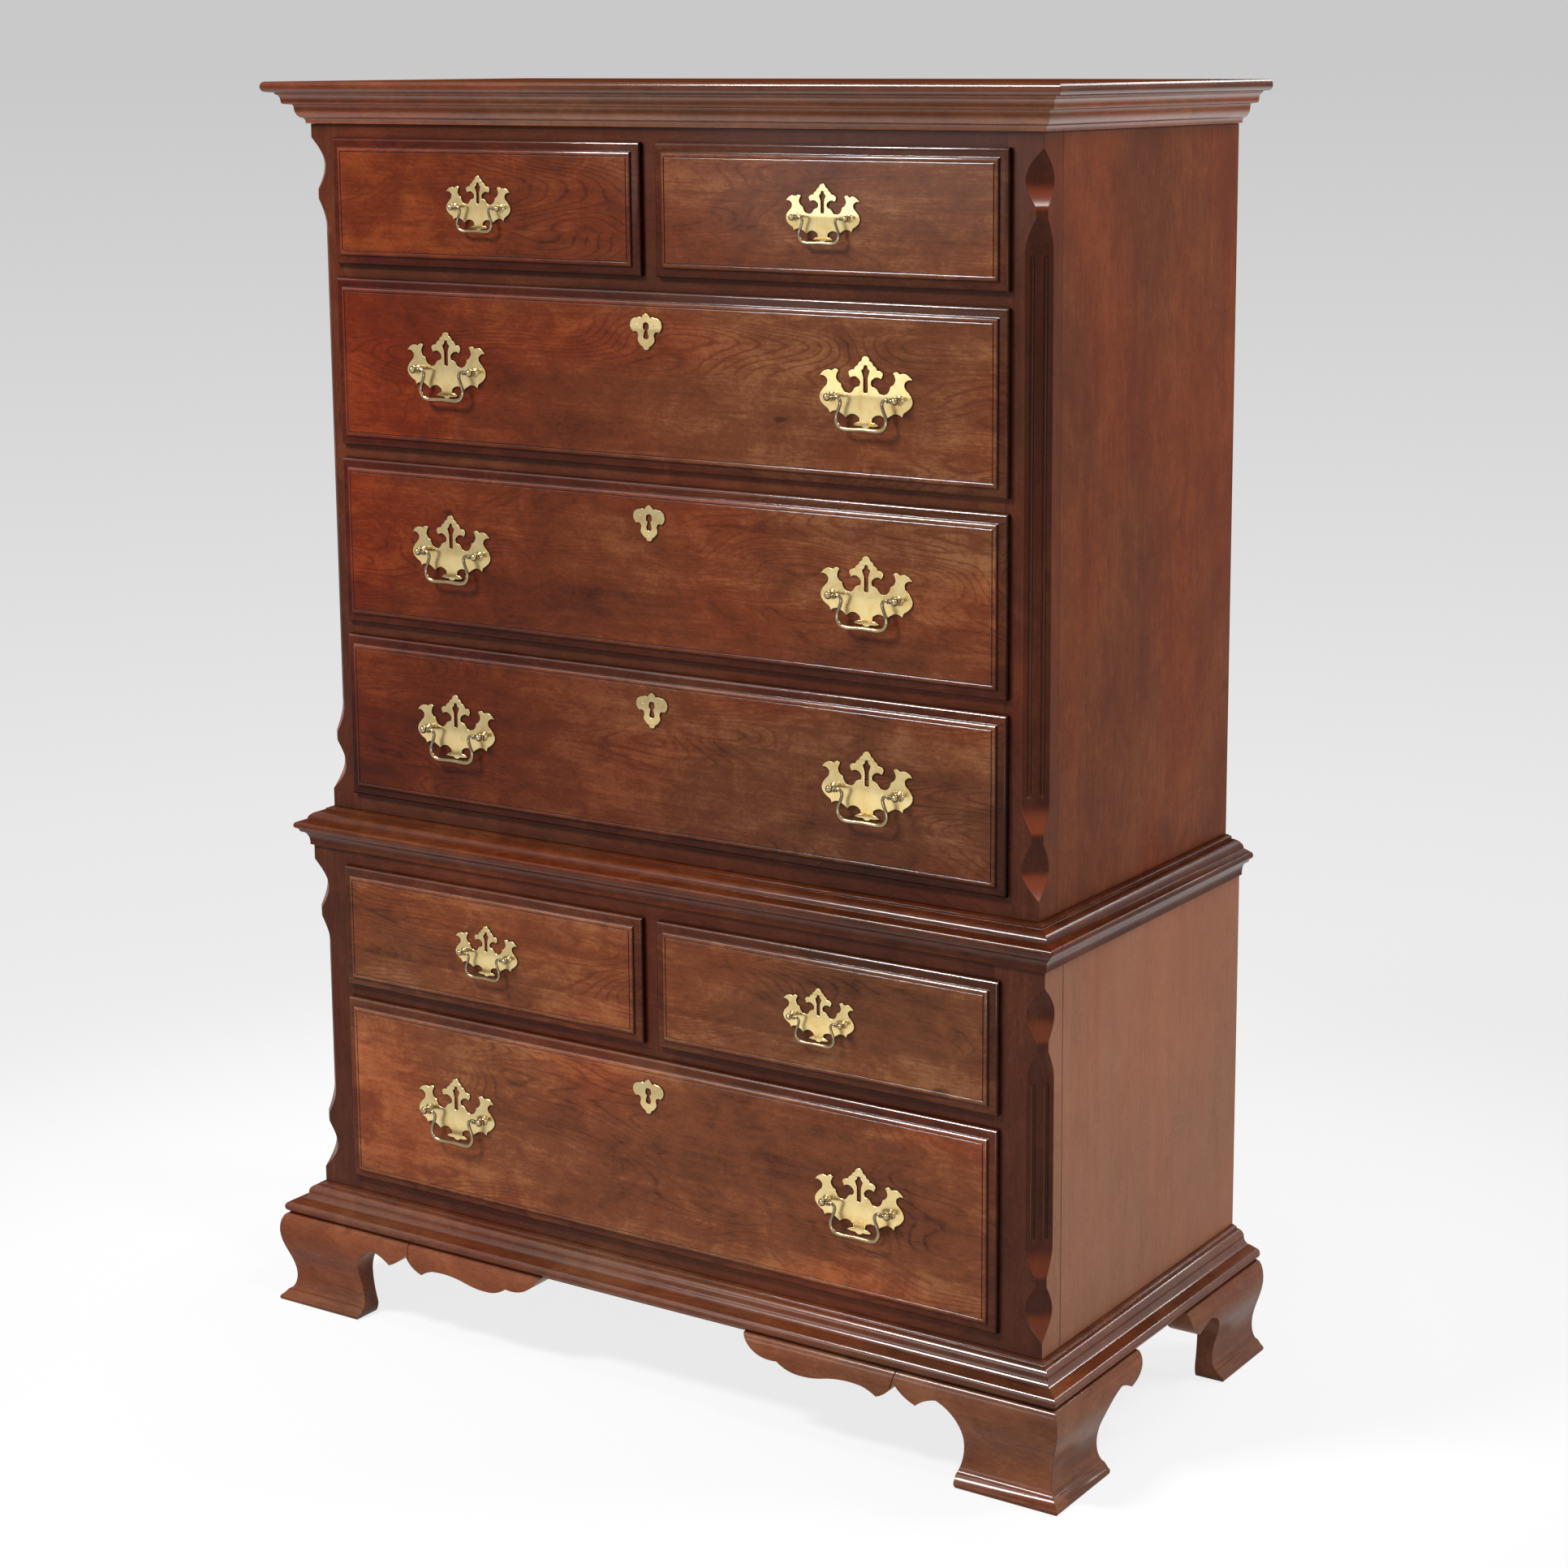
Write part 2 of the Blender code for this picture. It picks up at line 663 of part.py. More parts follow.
def add_front_foot(name, side, material):
    """An ogee bracket foot: two wings mitred at the corner, the front one ending in a scroll bracket."""
    corner_x, corner_y = LOWER_HALF + FOOT_REACH, LOWER_FRONT - FOOT_REACH
    inner_x, inner_y = corner_x - FOOT_STOCK, corner_y + FOOT_STOCK
    front_end = corner_x - TOE_WIDTH - FRONT_BRACKET[0][0] - CUTTER_MARGIN / 2
    side_reach = max(u for u, _, _ in SIDE_BRACKET)
    side_end = corner_y + SIDE_TOE_WIDTH + side_reach + CUTTER_MARGIN / 2

    def ring(out, height):
        x, y = LOWER_HALF + out, LOWER_FRONT - out
        ends = [(x, y), (x, side_end), (inner_x, side_end)]
        ends += [(inner_x, inner_y), (front_end, inner_y), (front_end, y)]
        return [(side * px, py, height) for px, py in ends]

    obj = add_object(name, ring_body(name, [ring(*point) for point in FOOT_PROFILE]), material)

    def on_front(u, v, w):
        return (side * (corner_x - TOE_WIDTH - u), w, v)

    def on_side(u, v, w):
        return (side * w, corner_y + SIDE_TOE_WIDTH + u, v)

    front_cut = bracket_outline(FRONT_BRACKET, FRONT_BRACKET[0][0] + CUTTER_MARGIN)
    near, far = corner_y - CUTTER_MARGIN, inner_y + CUTTER_MARGIN
    combine(obj, sheet_mesh("cut", [front_cut], on_front, near, far), "DIFFERENCE")
    side_cut = bracket_outline(SIDE_BRACKET, side_reach + CUTTER_MARGIN)
    near, far = inner_x - CUTTER_MARGIN, corner_x + CUTTER_MARGIN
    combine(obj, sheet_mesh("cut", [side_cut], on_side, near, far), "DIFFERENCE")
    wide = BRACKET_JOINT_WIDTH / 2
    joint = [
        Vector((BRACKET_JOINT_TOP - wide, FOOT_TOP + CUTTER_MARGIN)),
        Vector((BRACKET_JOINT_TOP + wide, FOOT_TOP + CUTTER_MARGIN)),
        Vector((BRACKET_JOINT_FOOT + wide, BRACKET_JOINT_LOW)),
        Vector((BRACKET_JOINT_FOOT - wide, BRACKET_JOINT_LOW)),
    ]
    near, far = corner_y - CUTTER_MARGIN, corner_y + BRACKET_JOINT_DEPTH
    combine(obj, sheet_mesh("joint", [joint], on_front, near, far), "DIFFERENCE")
    soften(obj)
    return obj


def add_rear_foot(name, side, material):
    """A single ogee wing under the side, ending flush with the back."""
    side_reach = max(u for u, _, _ in SIDE_BRACKET)
    end = BACK - REAR_TOE_WIDTH - side_reach - CUTTER_MARGIN / 2
    outer_x = LOWER_HALF + FOOT_REACH
    inner_x = outer_x - FOOT_STOCK

    def ring(out, height):
        ends = [(LOWER_HALF + out, BACK), (LOWER_HALF + out, end), (inner_x, end), (inner_x, BACK)]
        return [(side * x, y, height) for x, y in ends]

    obj = add_object(name, ring_body(name, [ring(*point) for point in FOOT_PROFILE]), material)

    def on_side(u, v, w):
        return (side * w, BACK - REAR_TOE_WIDTH - u, v)

    cut = bracket_outline(SIDE_BRACKET, side_reach + CUTTER_MARGIN)
    near, far = inner_x - CUTTER_MARGIN, outer_x + CUTTER_MARGIN
    combine(obj, sheet_mesh("cut", [cut], on_side, near, far), "DIFFERENCE")
    soften(obj)
    return obj


def front_place(x, z, y):
    return (x, y, z)


def turned(centre_x, rings, sides):
    """A turned piece along Y: rings are (y, radius)."""
    body = []
    for y, radius in rings:
        turns = [(k + 0.5) * math.tau / sides for k in range(sides)]
        body.append([(centre_x + radius * math.cos(a), y, radius * math.sin(a)) for a in turns])
    return ring_body("turned", body)


def pull_plate_mesh(name, scale, material):
    """The pierced plate with its posts. Its origin is midway between the posts, on the plate's back."""
    outlines = [mirrored_outline(scaled(knots, scale)) for knots in (PLATE, PLATE_KEYHOLE)]
    sheet = sheet_mesh(name, outlines, front_place, 0, -PLATE_THICKNESS)
    obj = add_object(name, sheet, material)
    half = PULL_BORE * scale / 2
    reach = POST_REACH * scale
    rings = [(-PLATE_THICKNESS - share * reach, radius * scale) for share, radius in POST]
    rings.insert(0, (-PLATE_THICKNESS / 2, POST[0][1] * scale))
    pin = (BAIL_PIN_RADIUS * scale) + PIVOT_CLEARANCE
    depth = PIN_REACH * scale + PIVOT_CLEARANCE
    head = max(radius for _, radius in POST) * scale
    for side in (-1, 1):
        combine(obj, turned(side * half, rings, POST_SIDES), "UNION")
        turns = [(k + 0.5) * math.tau / POST_SIDES for k in range(POST_SIDES)]
        ends = [side * (half + depth), side * (half - head - CUTTER_MARGIN * scale / 2)]
        pivot = -PLATE_THICKNESS - reach
        bore = [[(x, pivot + pin * math.cos(a), pin * math.sin(a)) for a in turns] for x in ends]
        combine(obj, ring_body("bore", bore), "DIFFERENCE")
    soften(obj)
    mesh = obj.data
    bpy.data.objects.remove(obj)
    return mesh


def bail_mesh(name, scale, material):
    """The bail, hanging down from the pivot axis at its origin."""
    half = PULL_BORE * scale / 2
    pin_end = half + PIN_REACH * scale
    path = [(pin_end, 0.0, 0.0)]
    path += [(half - x * scale, z * scale, share) for x, z, share in BAIL]
    path += [(-x, z, share) for x, z, share in reversed(path[:-1])]
    rings = []
    for k, (x, z, share) in enumerate(path):
        before, after = path[max(k - 1, 0)], path[min(k + 1, len(path) - 1)]
        way = Vector((after[0] - before[0], 0, after[1] - before[1])).normalized()
        across = Vector((-way.z, 0, way.x))
        radius = scale * (BAIL_PIN_RADIUS + (BAIL_GRIP_RADIUS - BAIL_PIN_RADIUS) * share)
        ring = []
        for j in range(BAIL_SIDES):
            a = (j + 0.5) * math.tau / BAIL_SIDES
            offset = across * (radius * math.cos(a))
            ring.append((x + offset.x, radius * math.sin(a), z + offset.z))
        rings.append(ring)
    mesh = ring_body(name, rings)
    mesh.shade_smooth()
    mesh.set_sharp_from_angle(angle=BAIL_SMOOTH_ANGLE)
    mesh.materials.append(material)
    return mesh


def escutcheon_mesh(name, material):
    outlines = [mirrored_outline(ESCUTCHEON), mirrored_outline(ESCUTCHEON_KEYHOLE)]
    mesh = sheet_mesh(name, outlines, front_place, 0, -ESCUTCHEON_THICKNESS)
    mesh.materials.append(material)
    return mesh


def front_levels():
    """Points (inset, depth) across the moulded edge of a drawer front, from the back of the lip."""
    points = [(0.0, 0.0), (0.0, LIP_EDGE)]

    def quarter_round(width, rise):
        inset, depth = points[-1]
        for k in range(1, ROUND_STEPS + 1):
            turn = k / ROUND_STEPS * math.pi / 2
            points.append((inset + width * (1 - math.cos(turn)), depth + rise * math.sin(turn)))

    quarter_round(BEAD_WIDTH, BEAD_RISE)
    inset, depth = points[-1]
    points.append((inset + FILLET_WIDTH, depth + FILLET_RISE))
    quarter_round(OVOLO_WIDTH, OVOLO_RISE)
    inset, depth = points[-1]
    points.append((inset + QUIRK_WIDTH / 2, depth - QUIRK_DEPTH))
    points.append((inset + QUIRK_WIDTH, depth))
    return points


FRONT_LEVELS = front_levels()
LIP_DEPTH = FRONT_LEVELS[-1][1]


def add_front(name, drawer, half_w, half_h, open_w, low, high, material):
    """The lipped front: a tongue in the opening and a board with a moulded edge over it."""

    def ring(wide, bottom, top, y):
        return [(-wide, y, bottom), (wide, y, bottom), (wide, y, top), (-wide, y, top)]

    rings = [ring(open_w, low, high, TONGUE_DEPTH), ring(open_w, low, high, -LIP_GAP)]
    for inset, depth in FRONT_LEVELS:
        rings.append(ring(half_w - inset, inset - half_h, half_h - inset, -LIP_GAP - depth))
    soften(add_object(name, ring_body(name, rings), material, drawer))


def add_box(name, drawer, open_w, low, high, end, material):
    """The open tray behind the front, with its bottom raised between the sides."""
    start = TONGUE_DEPTH + SEAM
    outer = box_mesh(name, ((-open_w, start, low), (open_w, end, high)))
    box = add_object(name, outer, material, drawer)
    inner = open_w - BOX_WALL
    floor = low + BOX_BOTTOM_RAISE + BOX_BOTTOM
    before = start - CUTTER_MARGIN
    above = ((-inner, before, floor), (inner, end - BOX_WALL, high + CUTTER_MARGIN))
    below = (
        (-inner, before, low - CUTTER_MARGIN),
        (inner, end + CUTTER_MARGIN, low + BOX_BOTTOM_RAISE),
    )
    combine(box, box_mesh("hollows", above, below), "DIFFERENCE")


def add_pull(stem, drawer, offset, face, plate, bail, scale):
    pull = add_empty(stem + "_pull", (offset, face, -PULL_DROP), drawer)
    add_object(stem + "_plate", plate, parent=pull)
    pivot = (0, -PLATE_THICKNESS - POST_REACH * scale, 0)
    add_object(stem + "_bail", bail, parent=pull, location=pivot)


def add_drawer(name, row, k, front, wood, inside_wood, hardware):
    """A lipped drawer with its box, pulls and escutcheon, all under one empty on its line of travel."""
    left, right = row.lips[k]
    z = (row.lip_low + row.lip_high) / 2
    drawer = add_empty(name, ((left + right) / 2, front, z))
    half_w, half_h = (right - left) / 2, (row.lip_high - row.lip_low) / 2
    open_w = half_w - LIP_OVERLAP - DRAWER_SIDE_CLEARANCE
    low = row.low + SEAM - z
    high = row.high - DRAWER_TOP_CLEARANCE - z
    end = BACK - BACK_THICKNESS - BOX_REAR_CLEARANCE - front
    add_front(name + "_front", drawer, half_w, half_h, open_w, low, high, wood)
    add_box(name + "_box", drawer, open_w, low, high, end, inside_wood)

    face = -LIP_GAP - LIP_DEPTH - SEAM
    plate, bail, scale, escutcheon = hardware
    if not escutcheon:
        add_pull(name, drawer, 0.0, face, plate, bail, scale)
        return
    for word, offset in (("left", -PULL_OFFSET), ("right", PULL_OFFSET)):
        add_pull(f"{name}_{word}", drawer, offset, face, plate, bail, scale)
    place = (0, face, half_h - ESCUTCHEON_DROP)
    add_object(name + "_escutcheon", escutcheon, parent=drawer, location=place)


def build():
    clear_scene()
    wood = principled("cherry", (0.20, 0.062, 0.033), 0.32)
    front_wood = principled("cherry_fronts", (0.22, 0.068, 0.035), 0.30)
    inside_wood = principled("drawer_wood", (0.48, 0.33, 0.19), 0.60)
    back_wood = principled("back_wood", (0.36, 0.24, 0.14), 0.65)
    brass = principled("brass", (0.80, 0.62, 0.30), 0.24, 1.0)

    upper_rows = rows_of(
        "upper", UPPER_TOP, UPPER_TOP_MARGIN, UPPER_SMALL_ROW, UPPER_LARGE_ROW, UPPER_LARGE_ROWS,
        UPPER_HALF - UPPER_SIDE_MARGIN,
    )
    lower_rows = rows_of(
        "lower", LOWER_TOP, LOWER_TOP_MARGIN, LOWER_SMALL_ROW, LOWER_LARGE_ROW, LOWER_LARGE_ROWS,
        LOWER_HALF - LOWER_SIDE_MARGIN,
    )
    add_case("upper", UPPER_HALF, UPPER_FRONT, UPPER_BOTTOM, UPPER_TOP, upper_rows, wood, back_wood)
    add_case("lower", LOWER_HALF, LOWER_FRONT, BASE_TOP, LOWER_TOP, lower_rows, wood, back_wood)
    add_moulding("cornice", CORNICE_START, CORNICE, UPPER_HALF, UPPER_FRONT, UPPER_TOP, wood)
    add_moulding("waist_moulding", WAIST_START, WAIST, LOWER_HALF, LOWER_FRONT, LOWER_TOP, wood)
    add_moulding("base_moulding", BASE_START, BASE, LOWER_HALF, LOWER_FRONT, FOOT_TOP, wood)
    for side, word in ((-1, "left"), (1, "right")):
        add_front_foot("foot_front_" + word, side, wood)
        add_rear_foot("foot_rear_" + word, side, wood)

    small = SMALL_PULL_SCALE
    plate = pull_plate_mesh("pull_plate", 1.0, brass)
    small_plate = pull_plate_mesh("small_pull_plate", small, brass)
    full = (plate, bail_mesh("bail", 1.0, brass), 1.0, escutcheon_mesh("escutcheon", brass))
    half = (small_plate, bail_mesh("small_bail", small, brass), small, None)
    for rows, front in ((upper_rows, UPPER_FRONT), (lower_rows, LOWER_FRONT)):
        for row in rows:
            if len(row.lips) == 1:
                add_drawer(row.name, row, 0, front, front_wood, inside_wood, full)
                continue
            for k, word in enumerate(("left", "right")):
                add_drawer(f"{row.name}_{word}", row, k, front, front_wood, inside_wood, half)


build()
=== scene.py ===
"""Looks of the chest-on-chest: finer pieces over the frame's solids, its woods and brass, and a studio."""

import json
import math
from functools import partialmethod

import bpy
from mathutils import Matrix, Vector
from mathutils.geometry import tessellate_polygon

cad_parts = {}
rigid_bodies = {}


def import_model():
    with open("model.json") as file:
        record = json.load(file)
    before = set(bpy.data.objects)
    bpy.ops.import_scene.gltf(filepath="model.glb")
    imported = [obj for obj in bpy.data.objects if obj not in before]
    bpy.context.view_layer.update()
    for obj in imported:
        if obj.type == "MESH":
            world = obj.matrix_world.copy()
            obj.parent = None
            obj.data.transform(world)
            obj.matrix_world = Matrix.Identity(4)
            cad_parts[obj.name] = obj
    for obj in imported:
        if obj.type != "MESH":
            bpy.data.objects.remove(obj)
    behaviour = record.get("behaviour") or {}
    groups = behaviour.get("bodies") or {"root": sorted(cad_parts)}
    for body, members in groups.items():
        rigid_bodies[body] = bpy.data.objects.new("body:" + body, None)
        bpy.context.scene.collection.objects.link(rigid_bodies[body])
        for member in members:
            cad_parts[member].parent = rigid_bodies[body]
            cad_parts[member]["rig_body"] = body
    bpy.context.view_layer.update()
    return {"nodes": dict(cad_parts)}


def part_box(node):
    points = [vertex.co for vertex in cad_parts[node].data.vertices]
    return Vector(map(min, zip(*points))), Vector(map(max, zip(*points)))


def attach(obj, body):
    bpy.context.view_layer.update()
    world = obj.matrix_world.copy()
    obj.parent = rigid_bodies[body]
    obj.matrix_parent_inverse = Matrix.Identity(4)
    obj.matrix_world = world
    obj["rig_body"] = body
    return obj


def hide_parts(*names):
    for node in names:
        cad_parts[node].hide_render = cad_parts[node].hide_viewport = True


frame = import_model()

# The sizes that the solids share, in metres
SEAM = 0.0003
LIP_OVERLAP = 0.007
LIP_GAP = 0.0008
LIP_EDGE = 0.0030
BEAD = (0.0045, 0.0030)
FILLET = (0.0055, 0.0004)
OVOLO = (0.0047, 0.0033)
QUIRK = (0.0012, 0.0008)
SIDE_CLEARANCE = 0.0010
TOP_CLEARANCE = 0.0030
TONGUE_DEPTH = 0.010
RUNNER_HEIGHT = 0.018
RUNNER_REACH = 0.014
RUNNER_DROP = 0.0002
POST_DEPTH = 0.039
BOARD_THICKNESS = 0.018
BORDER = 0.030
CANT = 0.021
CANT_NECK = 0.0088
STOP_SCOOP = 0.0315
STOP_RELEASE = 0.0275
STOP_NECK = 0.011
STOP_RETURN = 0.033
FLUTE_WIDTH = 0.0055
FLUTE_DEPTH = 0.0022
FLUTE_OFFSET = 0.0070
FLUTE_TIP = 0.005
FLUTE_MARGIN = 0.003
MARGIN = 0.010
FOOT_STOCK = 0.036
TOE_WIDTH = 0.125
SIDE_TOE_WIDTH = 0.118
REAR_TOE_WIDTH = 0.107
PLATE_THICKNESS = 0.0016
PLATE_EDGE = 0.00035
PULL_BORE = 0.0825
SMALL_PULL = 0.80
POST_REACH = 0.0087
PIN_RADIUS = 0.0016
GRIP_RADIUS = 0.0023
PIN_REACH = 0.0012
PIVOT_CLEARANCE = 0.0003

# Mouldings: start past the case, then members from the bottom up: shape, run, rise
CORNICE = (0.0010, (
    ("flat", 0.0030, 0.0004), ("flat", 0.0004, 0.0032), ("flat", 0.0014, 0.0026),
    ("out first", 0.0076, 0.0128), ("flat", 0.0010, 0.0024), ("flat", 0.0084, 0.0012),
    ("flat", 0.0008, 0.0022), ("up first", 0.0044, 0.0084), ("flat", 0.0006, 0.0020),
    ("flat", 0.0074, 0.0008), ("nose", 0.0040, 0.0118),
))
WAIST = (0.0005, (
    ("flat", 0.0027, 0.0008), ("flat", 0.0000, 0.0026), ("up first", 0.0078, 0.0136),
    ("flat", 0.0022, 0.0040), ("nose", 0.0038, 0.0084), ("flat", -0.0082, 0.0030),
    ("up first", -0.0155, 0.0092), ("flat", -0.0001, 0.0026), ("flat", -0.0044, 0.0018),
))
BASE = (0.0314, (
    ("flat", 0.0004, 0.0022), ("nose", 0.0042, 0.0114), ("flat", -0.0086, 0.0028),
    ("out first", -0.0082, 0.0086), ("up first", -0.0092, 0.0082), ("flat", -0.0004, 0.0020),
    ("flat", -0.0044, 0.0018),
))
FOOT = (0.0420, (
    ("flat", 0.0010, 0.0016), ("flat", 0.0000, 0.0022), ("flat", -0.0016, 0.0022),
    ("flat", -0.0012, 0.0004), ("flat", -0.0050, 0.0060), ("out first", -0.0077, 0.0176),
    ("swell", 0.0135, 0.0600), ("up first", -0.0086, 0.0205),
))

# Brackets of the feet, from the free end to the toe: distance from the toe, height, bulge of the wood
FRONT_BRACKET = (
    (0.277, 0.1125, 0.0), (0.228, 0.0885, 0.0092), (0.1985, 0.0785, 0.0026), (0.168, 0.0825, 0.0012),
    (0.118, 0.0862, -0.0026), (0.100, 0.0778, -0.0010), (0.0765, 0.0977, 0.0028),
    (0.050, 0.0795, 0.0018), (0.024, 0.0920, -0.0022), (-0.0050, 0.0500, -0.0095),
    (0.0020, 0.0130, -0.0012), (-0.0015, 0.0, 0.0012),
)
SIDE_BRACKET = (
    (0.079, 0.1125, 0.0), (0.055, 0.0778, 0.0085), (0.030, 0.0885, -0.0010),
    (-0.0045, 0.0550, -0.0075), (0.0005, 0.0130, -0.0008), (-0.0015, 0.0, 0.0010),
)
JOINT = ((0.0750, None), (0.0815, 0.0920))
JOINT_WIDTH = 0.0010
JOINT_DEPTH = 0.0125

# Right half of the pull plate, clockwise from its crest, and its keyhole: x, z, bulge
PLATE = (
    (0.0000, 0.0435, 0.0), (0.0050, 0.0388, 0.0016), (0.0095, 0.0342, 0.0010), (0.0143, 0.0292, 0.0010),
    (0.0188, 0.0206, 0.0046), (0.0088, 0.0200, -0.0018), (0.0082, 0.0123, -0.0020),
    (0.0138, 0.0102, 0.0004), (0.0263, 0.0063, -0.0036), (0.0300, 0.0138, -0.0008),
    (0.0362, 0.0208, -0.0014), (0.0332, 0.0276, -0.0005), (0.0415, 0.0268, 0.0018),
    (0.0563, 0.0212, 0.0032), (0.0473, 0.0175, -0.0016), (0.0493, 0.0108, -0.0009),
    (0.0468, -0.0128, 0.0088), (0.0445, -0.0175, -0.0006), (0.0350, -0.0146, -0.0010),
    (0.0245, -0.0210, -0.0005), (0.0080, -0.0205, -0.0038), (0.0074, -0.0250, 0.0),
    (0.0155, -0.0280, 0.0009), (0.0050, -0.0292, 0.0006), (0.0000, -0.0315, 0.0005),
)
PLATE_KEYHOLE = (
    (0.0000, 0.0340, 0.0), (0.0024, 0.0310, 0.0009), (0.0050, 0.0284, 0.0), (0.0026, 0.0215, 0.0),
    (0.0026, 0.0080, 0.0), (0.0000, 0.0056, 0.0010),
)
ESCUTCHEON = (
    (0.0000, 0.0198, 0.0), (0.0056, 0.0146, 0.0010), (0.0120, 0.0148, 0.0009), (0.0200, 0.0112, 0.0011),
    (0.0168, -0.0010, 0.0026), (0.0102, -0.0045, -0.0022), (0.0112, -0.0100, 0.0003),
    (0.0038, -0.0172, 0.0009), (0.0000, -0.0202, 0.0012),
)
ESCUTCHEON_KEYHOLE = (
    (0.0000, 0.0095, 0.0), (0.0038, 0.0058, 0.0014), (0.0017, 0.0014, 0.0010),
    (0.0036, -0.0052, 0.0), (0.0000, -0.0088, 0.0010),
)
ESCUTCHEON_PINS = ((-0.0118, 0.0062), (0.0118, 0.0062), (0.0, -0.0148))
PIN_HEAD = ((PLATE_THICKNESS / 2, 0.0010), (0.0, 0.0010), (-0.0004, 0.0007))
# Turned post: share of the reach from the plate, radius
POST = (
    (0.0, 0.0054), (0.09, 0.0054), (0.15, 0.0050), (0.19, 0.0041), (0.30, 0.0031), (0.45, 0.0028),
    (0.58, 0.0032), (0.70, 0.0039), (0.84, 0.0044), (1.00, 0.0045), (1.16, 0.0043), (1.30, 0.0038),
    (1.42, 0.0029), (1.50, 0.0018), (1.55, 0.0006),
)
# Half of the bail: x from the post, z, share of thickness
BAIL = (
    (0.0060, 0.0000, 0.0), (0.0108, 0.0008, 0.1), (0.0148, -0.0012, 0.3), (0.0158, -0.0050, 0.4),
    (0.0142, -0.0105, 0.4), (0.0110, -0.0185, 0.5), (0.0112, -0.0250, 0.8), (0.0150, -0.0302, 1.0),
    (0.0215, -0.0322, 0.9), (0.0300, -0.0322, 0.6), (0.0412, -0.0318, 0.4),
)
BAIL_BEADS = (0.0064, 0.0090)
BEAD_WIDTH = 0.0011

FOOT_ERROR = 0.00005
ARC_ERROR = 0.00004
SMOOTH_ANGLE = math.radians(32)
STEPS = {"flat": 1, "out first": 10, "up first": 10, "nose": 14, "swell": 16}

# Where the woods change: |x| + y along the mitres, and |x| where the rails meet the posts
MITRE_LINE = 0.293
RAIL_END = 0.440


def curve(shape, t):
    """How far along its run and its rise a member is, at the share t of its curve."""
    turn = t * math.pi / 2
    if shape == "out first":
        return math.sin(turn), 1 - math.cos(turn)
    if shape == "up first":
        return 1 - math.cos(turn), math.sin(turn)
    if shape == "nose":
        return math.sin(2 * turn), (1 - math.cos(2 * turn)) / 2
    if shape == "swell":
        return (1 - math.cos(2 * turn)) / 2, t
    return t, t


def profile(start, members):
    """Points (distance out from the case, height) along a moulding, from its bottom up."""
    points = [(start, 0.0)]
    for shape, run, rise in members:
        out, up = points[-1]
        for k in range(1, STEPS[shape] + 1):
            along, above = curve(shape, k / STEPS[shape])
            points.append((out + run * along, up + rise * above))
    return points


# Mesh making


def mesh_from(name, points, faces):
    mesh = bpy.data.meshes.new(name)
    mesh.from_pydata([tuple(p) for p in points], [], faces)
    mesh.validate()
    mesh.update()
    return mesh


def outward(points, faces):
    """The faces, turned over if they enclose the points inside out."""
    total = 0.0
    for face in faces:
        first = Vector(points[face[0]])
        for k in range(1, len(face) - 1):
            total += first.dot(Vector(points[face[k]]).cross(Vector(points[face[k + 1]])))
    return [tuple(reversed(face)) for face in faces] if total < 0 else faces


def ring_body(name, rings):
    """A body through rings of equal length, capped at both ends."""
    size = len(rings[0])
    points = [p for ring in rings for p in ring]
    faces = [tuple(range(size)), tuple(range(len(points) - 1, len(points) - size - 1, -1))]
    for low in range(0, len(points) - size, size):
        high = low + size
        for k in range(size):
            n = (k + 1) % size
            faces.append((low + n, low + k, high + k, high + n))
    return mesh_from(name, points, outward(points, faces))


def around(sides):
    """The angles of the corners of a round ring."""
    return [(k + 0.5) * math.tau / sides for k in range(sides)]


def box_mesh(name, *boxes):
    points, faces = [], []
    for (x0, y0, z0), (x1, y1, z1) in boxes:
        n = len(points)
        points += [(x, y, z) for z in (z0, z1) for x, y in ((x0, y0), (x1, y0), (x1, y1), (x0, y1))]
        sides = ((3, 2, 1, 0), (4, 5, 6, 7), (0, 1, 5, 4), (1, 2, 6, 5), (2, 3, 7, 6), (3, 0, 4, 7))
        faces += [tuple(n + k for k in side) for side in sides]
    return mesh_from(name, points, faces)


def joined(name, *meshes):
    """One mesh of them all."""
    points, faces = [], []
    for mesh in meshes:
        start = len(points)
        points += [tuple(v.co) for v in mesh.vertices]
        faces += [tuple(start + k for k in face.vertices) for face in mesh.polygons]
    return mesh_from(name, points, faces)


def arc_chain(knots, error=ARC_ERROR):
    """Points along arcs through the knots. A bulge is to the left of the way travelled."""
    points = [Vector(knots[0][:2])]
    for x, z, bulge in knots[1:]:
        start, end = points[-1].copy(), Vector((x, z))
        steps = max(1, round(math.sqrt(abs(bulge) / error)))
        chord = end - start
        left = Vector((-chord.y, chord.x)).normalized()
        for k in range(1, steps + 1):
            t = k / steps
            points.append(start + chord * t + left * (4 * bulge * t * (1 - t)))
    return points


def mirrored(knots, scale=1.0):
    """The whole outline of a shape that is given by its right half."""
    half = arc_chain([[value * scale for value in knot] for knot in knots])
    return half + [Vector((-p.x, p.y)) for p in reversed(half[1:-1])]


def inset(outline, by):
    """The outline moved inwards. Outlines run clockwise, and holes too, which take a negative amount."""
    count = len(outline)
    moved = []
    for k, p in enumerate(outline):
        before = (p - outline[k - 1]).normalized()
        after = (outline[(k + 1) % count] - p).normalized()
        normal = Vector((before.y + after.y, -before.x - after.x))
        scale = max(normal.length_squared / 2, 0.45)
        moved.append(p + normal * (by / scale))
    return moved


def caps(outlines):
    """Triangles that fill the first outline and leave the rest open."""
    flat = [p for outline in outlines for p in outline]
    faces = []
    for a, b, c in tessellate_polygon([[Vector((p.x, p.y, 0)) for p in outline] for outline in outlines]):
        turn = (flat[b] - flat[a]).cross(flat[c] - flat[a])
        faces.append((a, b, c) if turn > 0 else (b, a, c))
    return faces


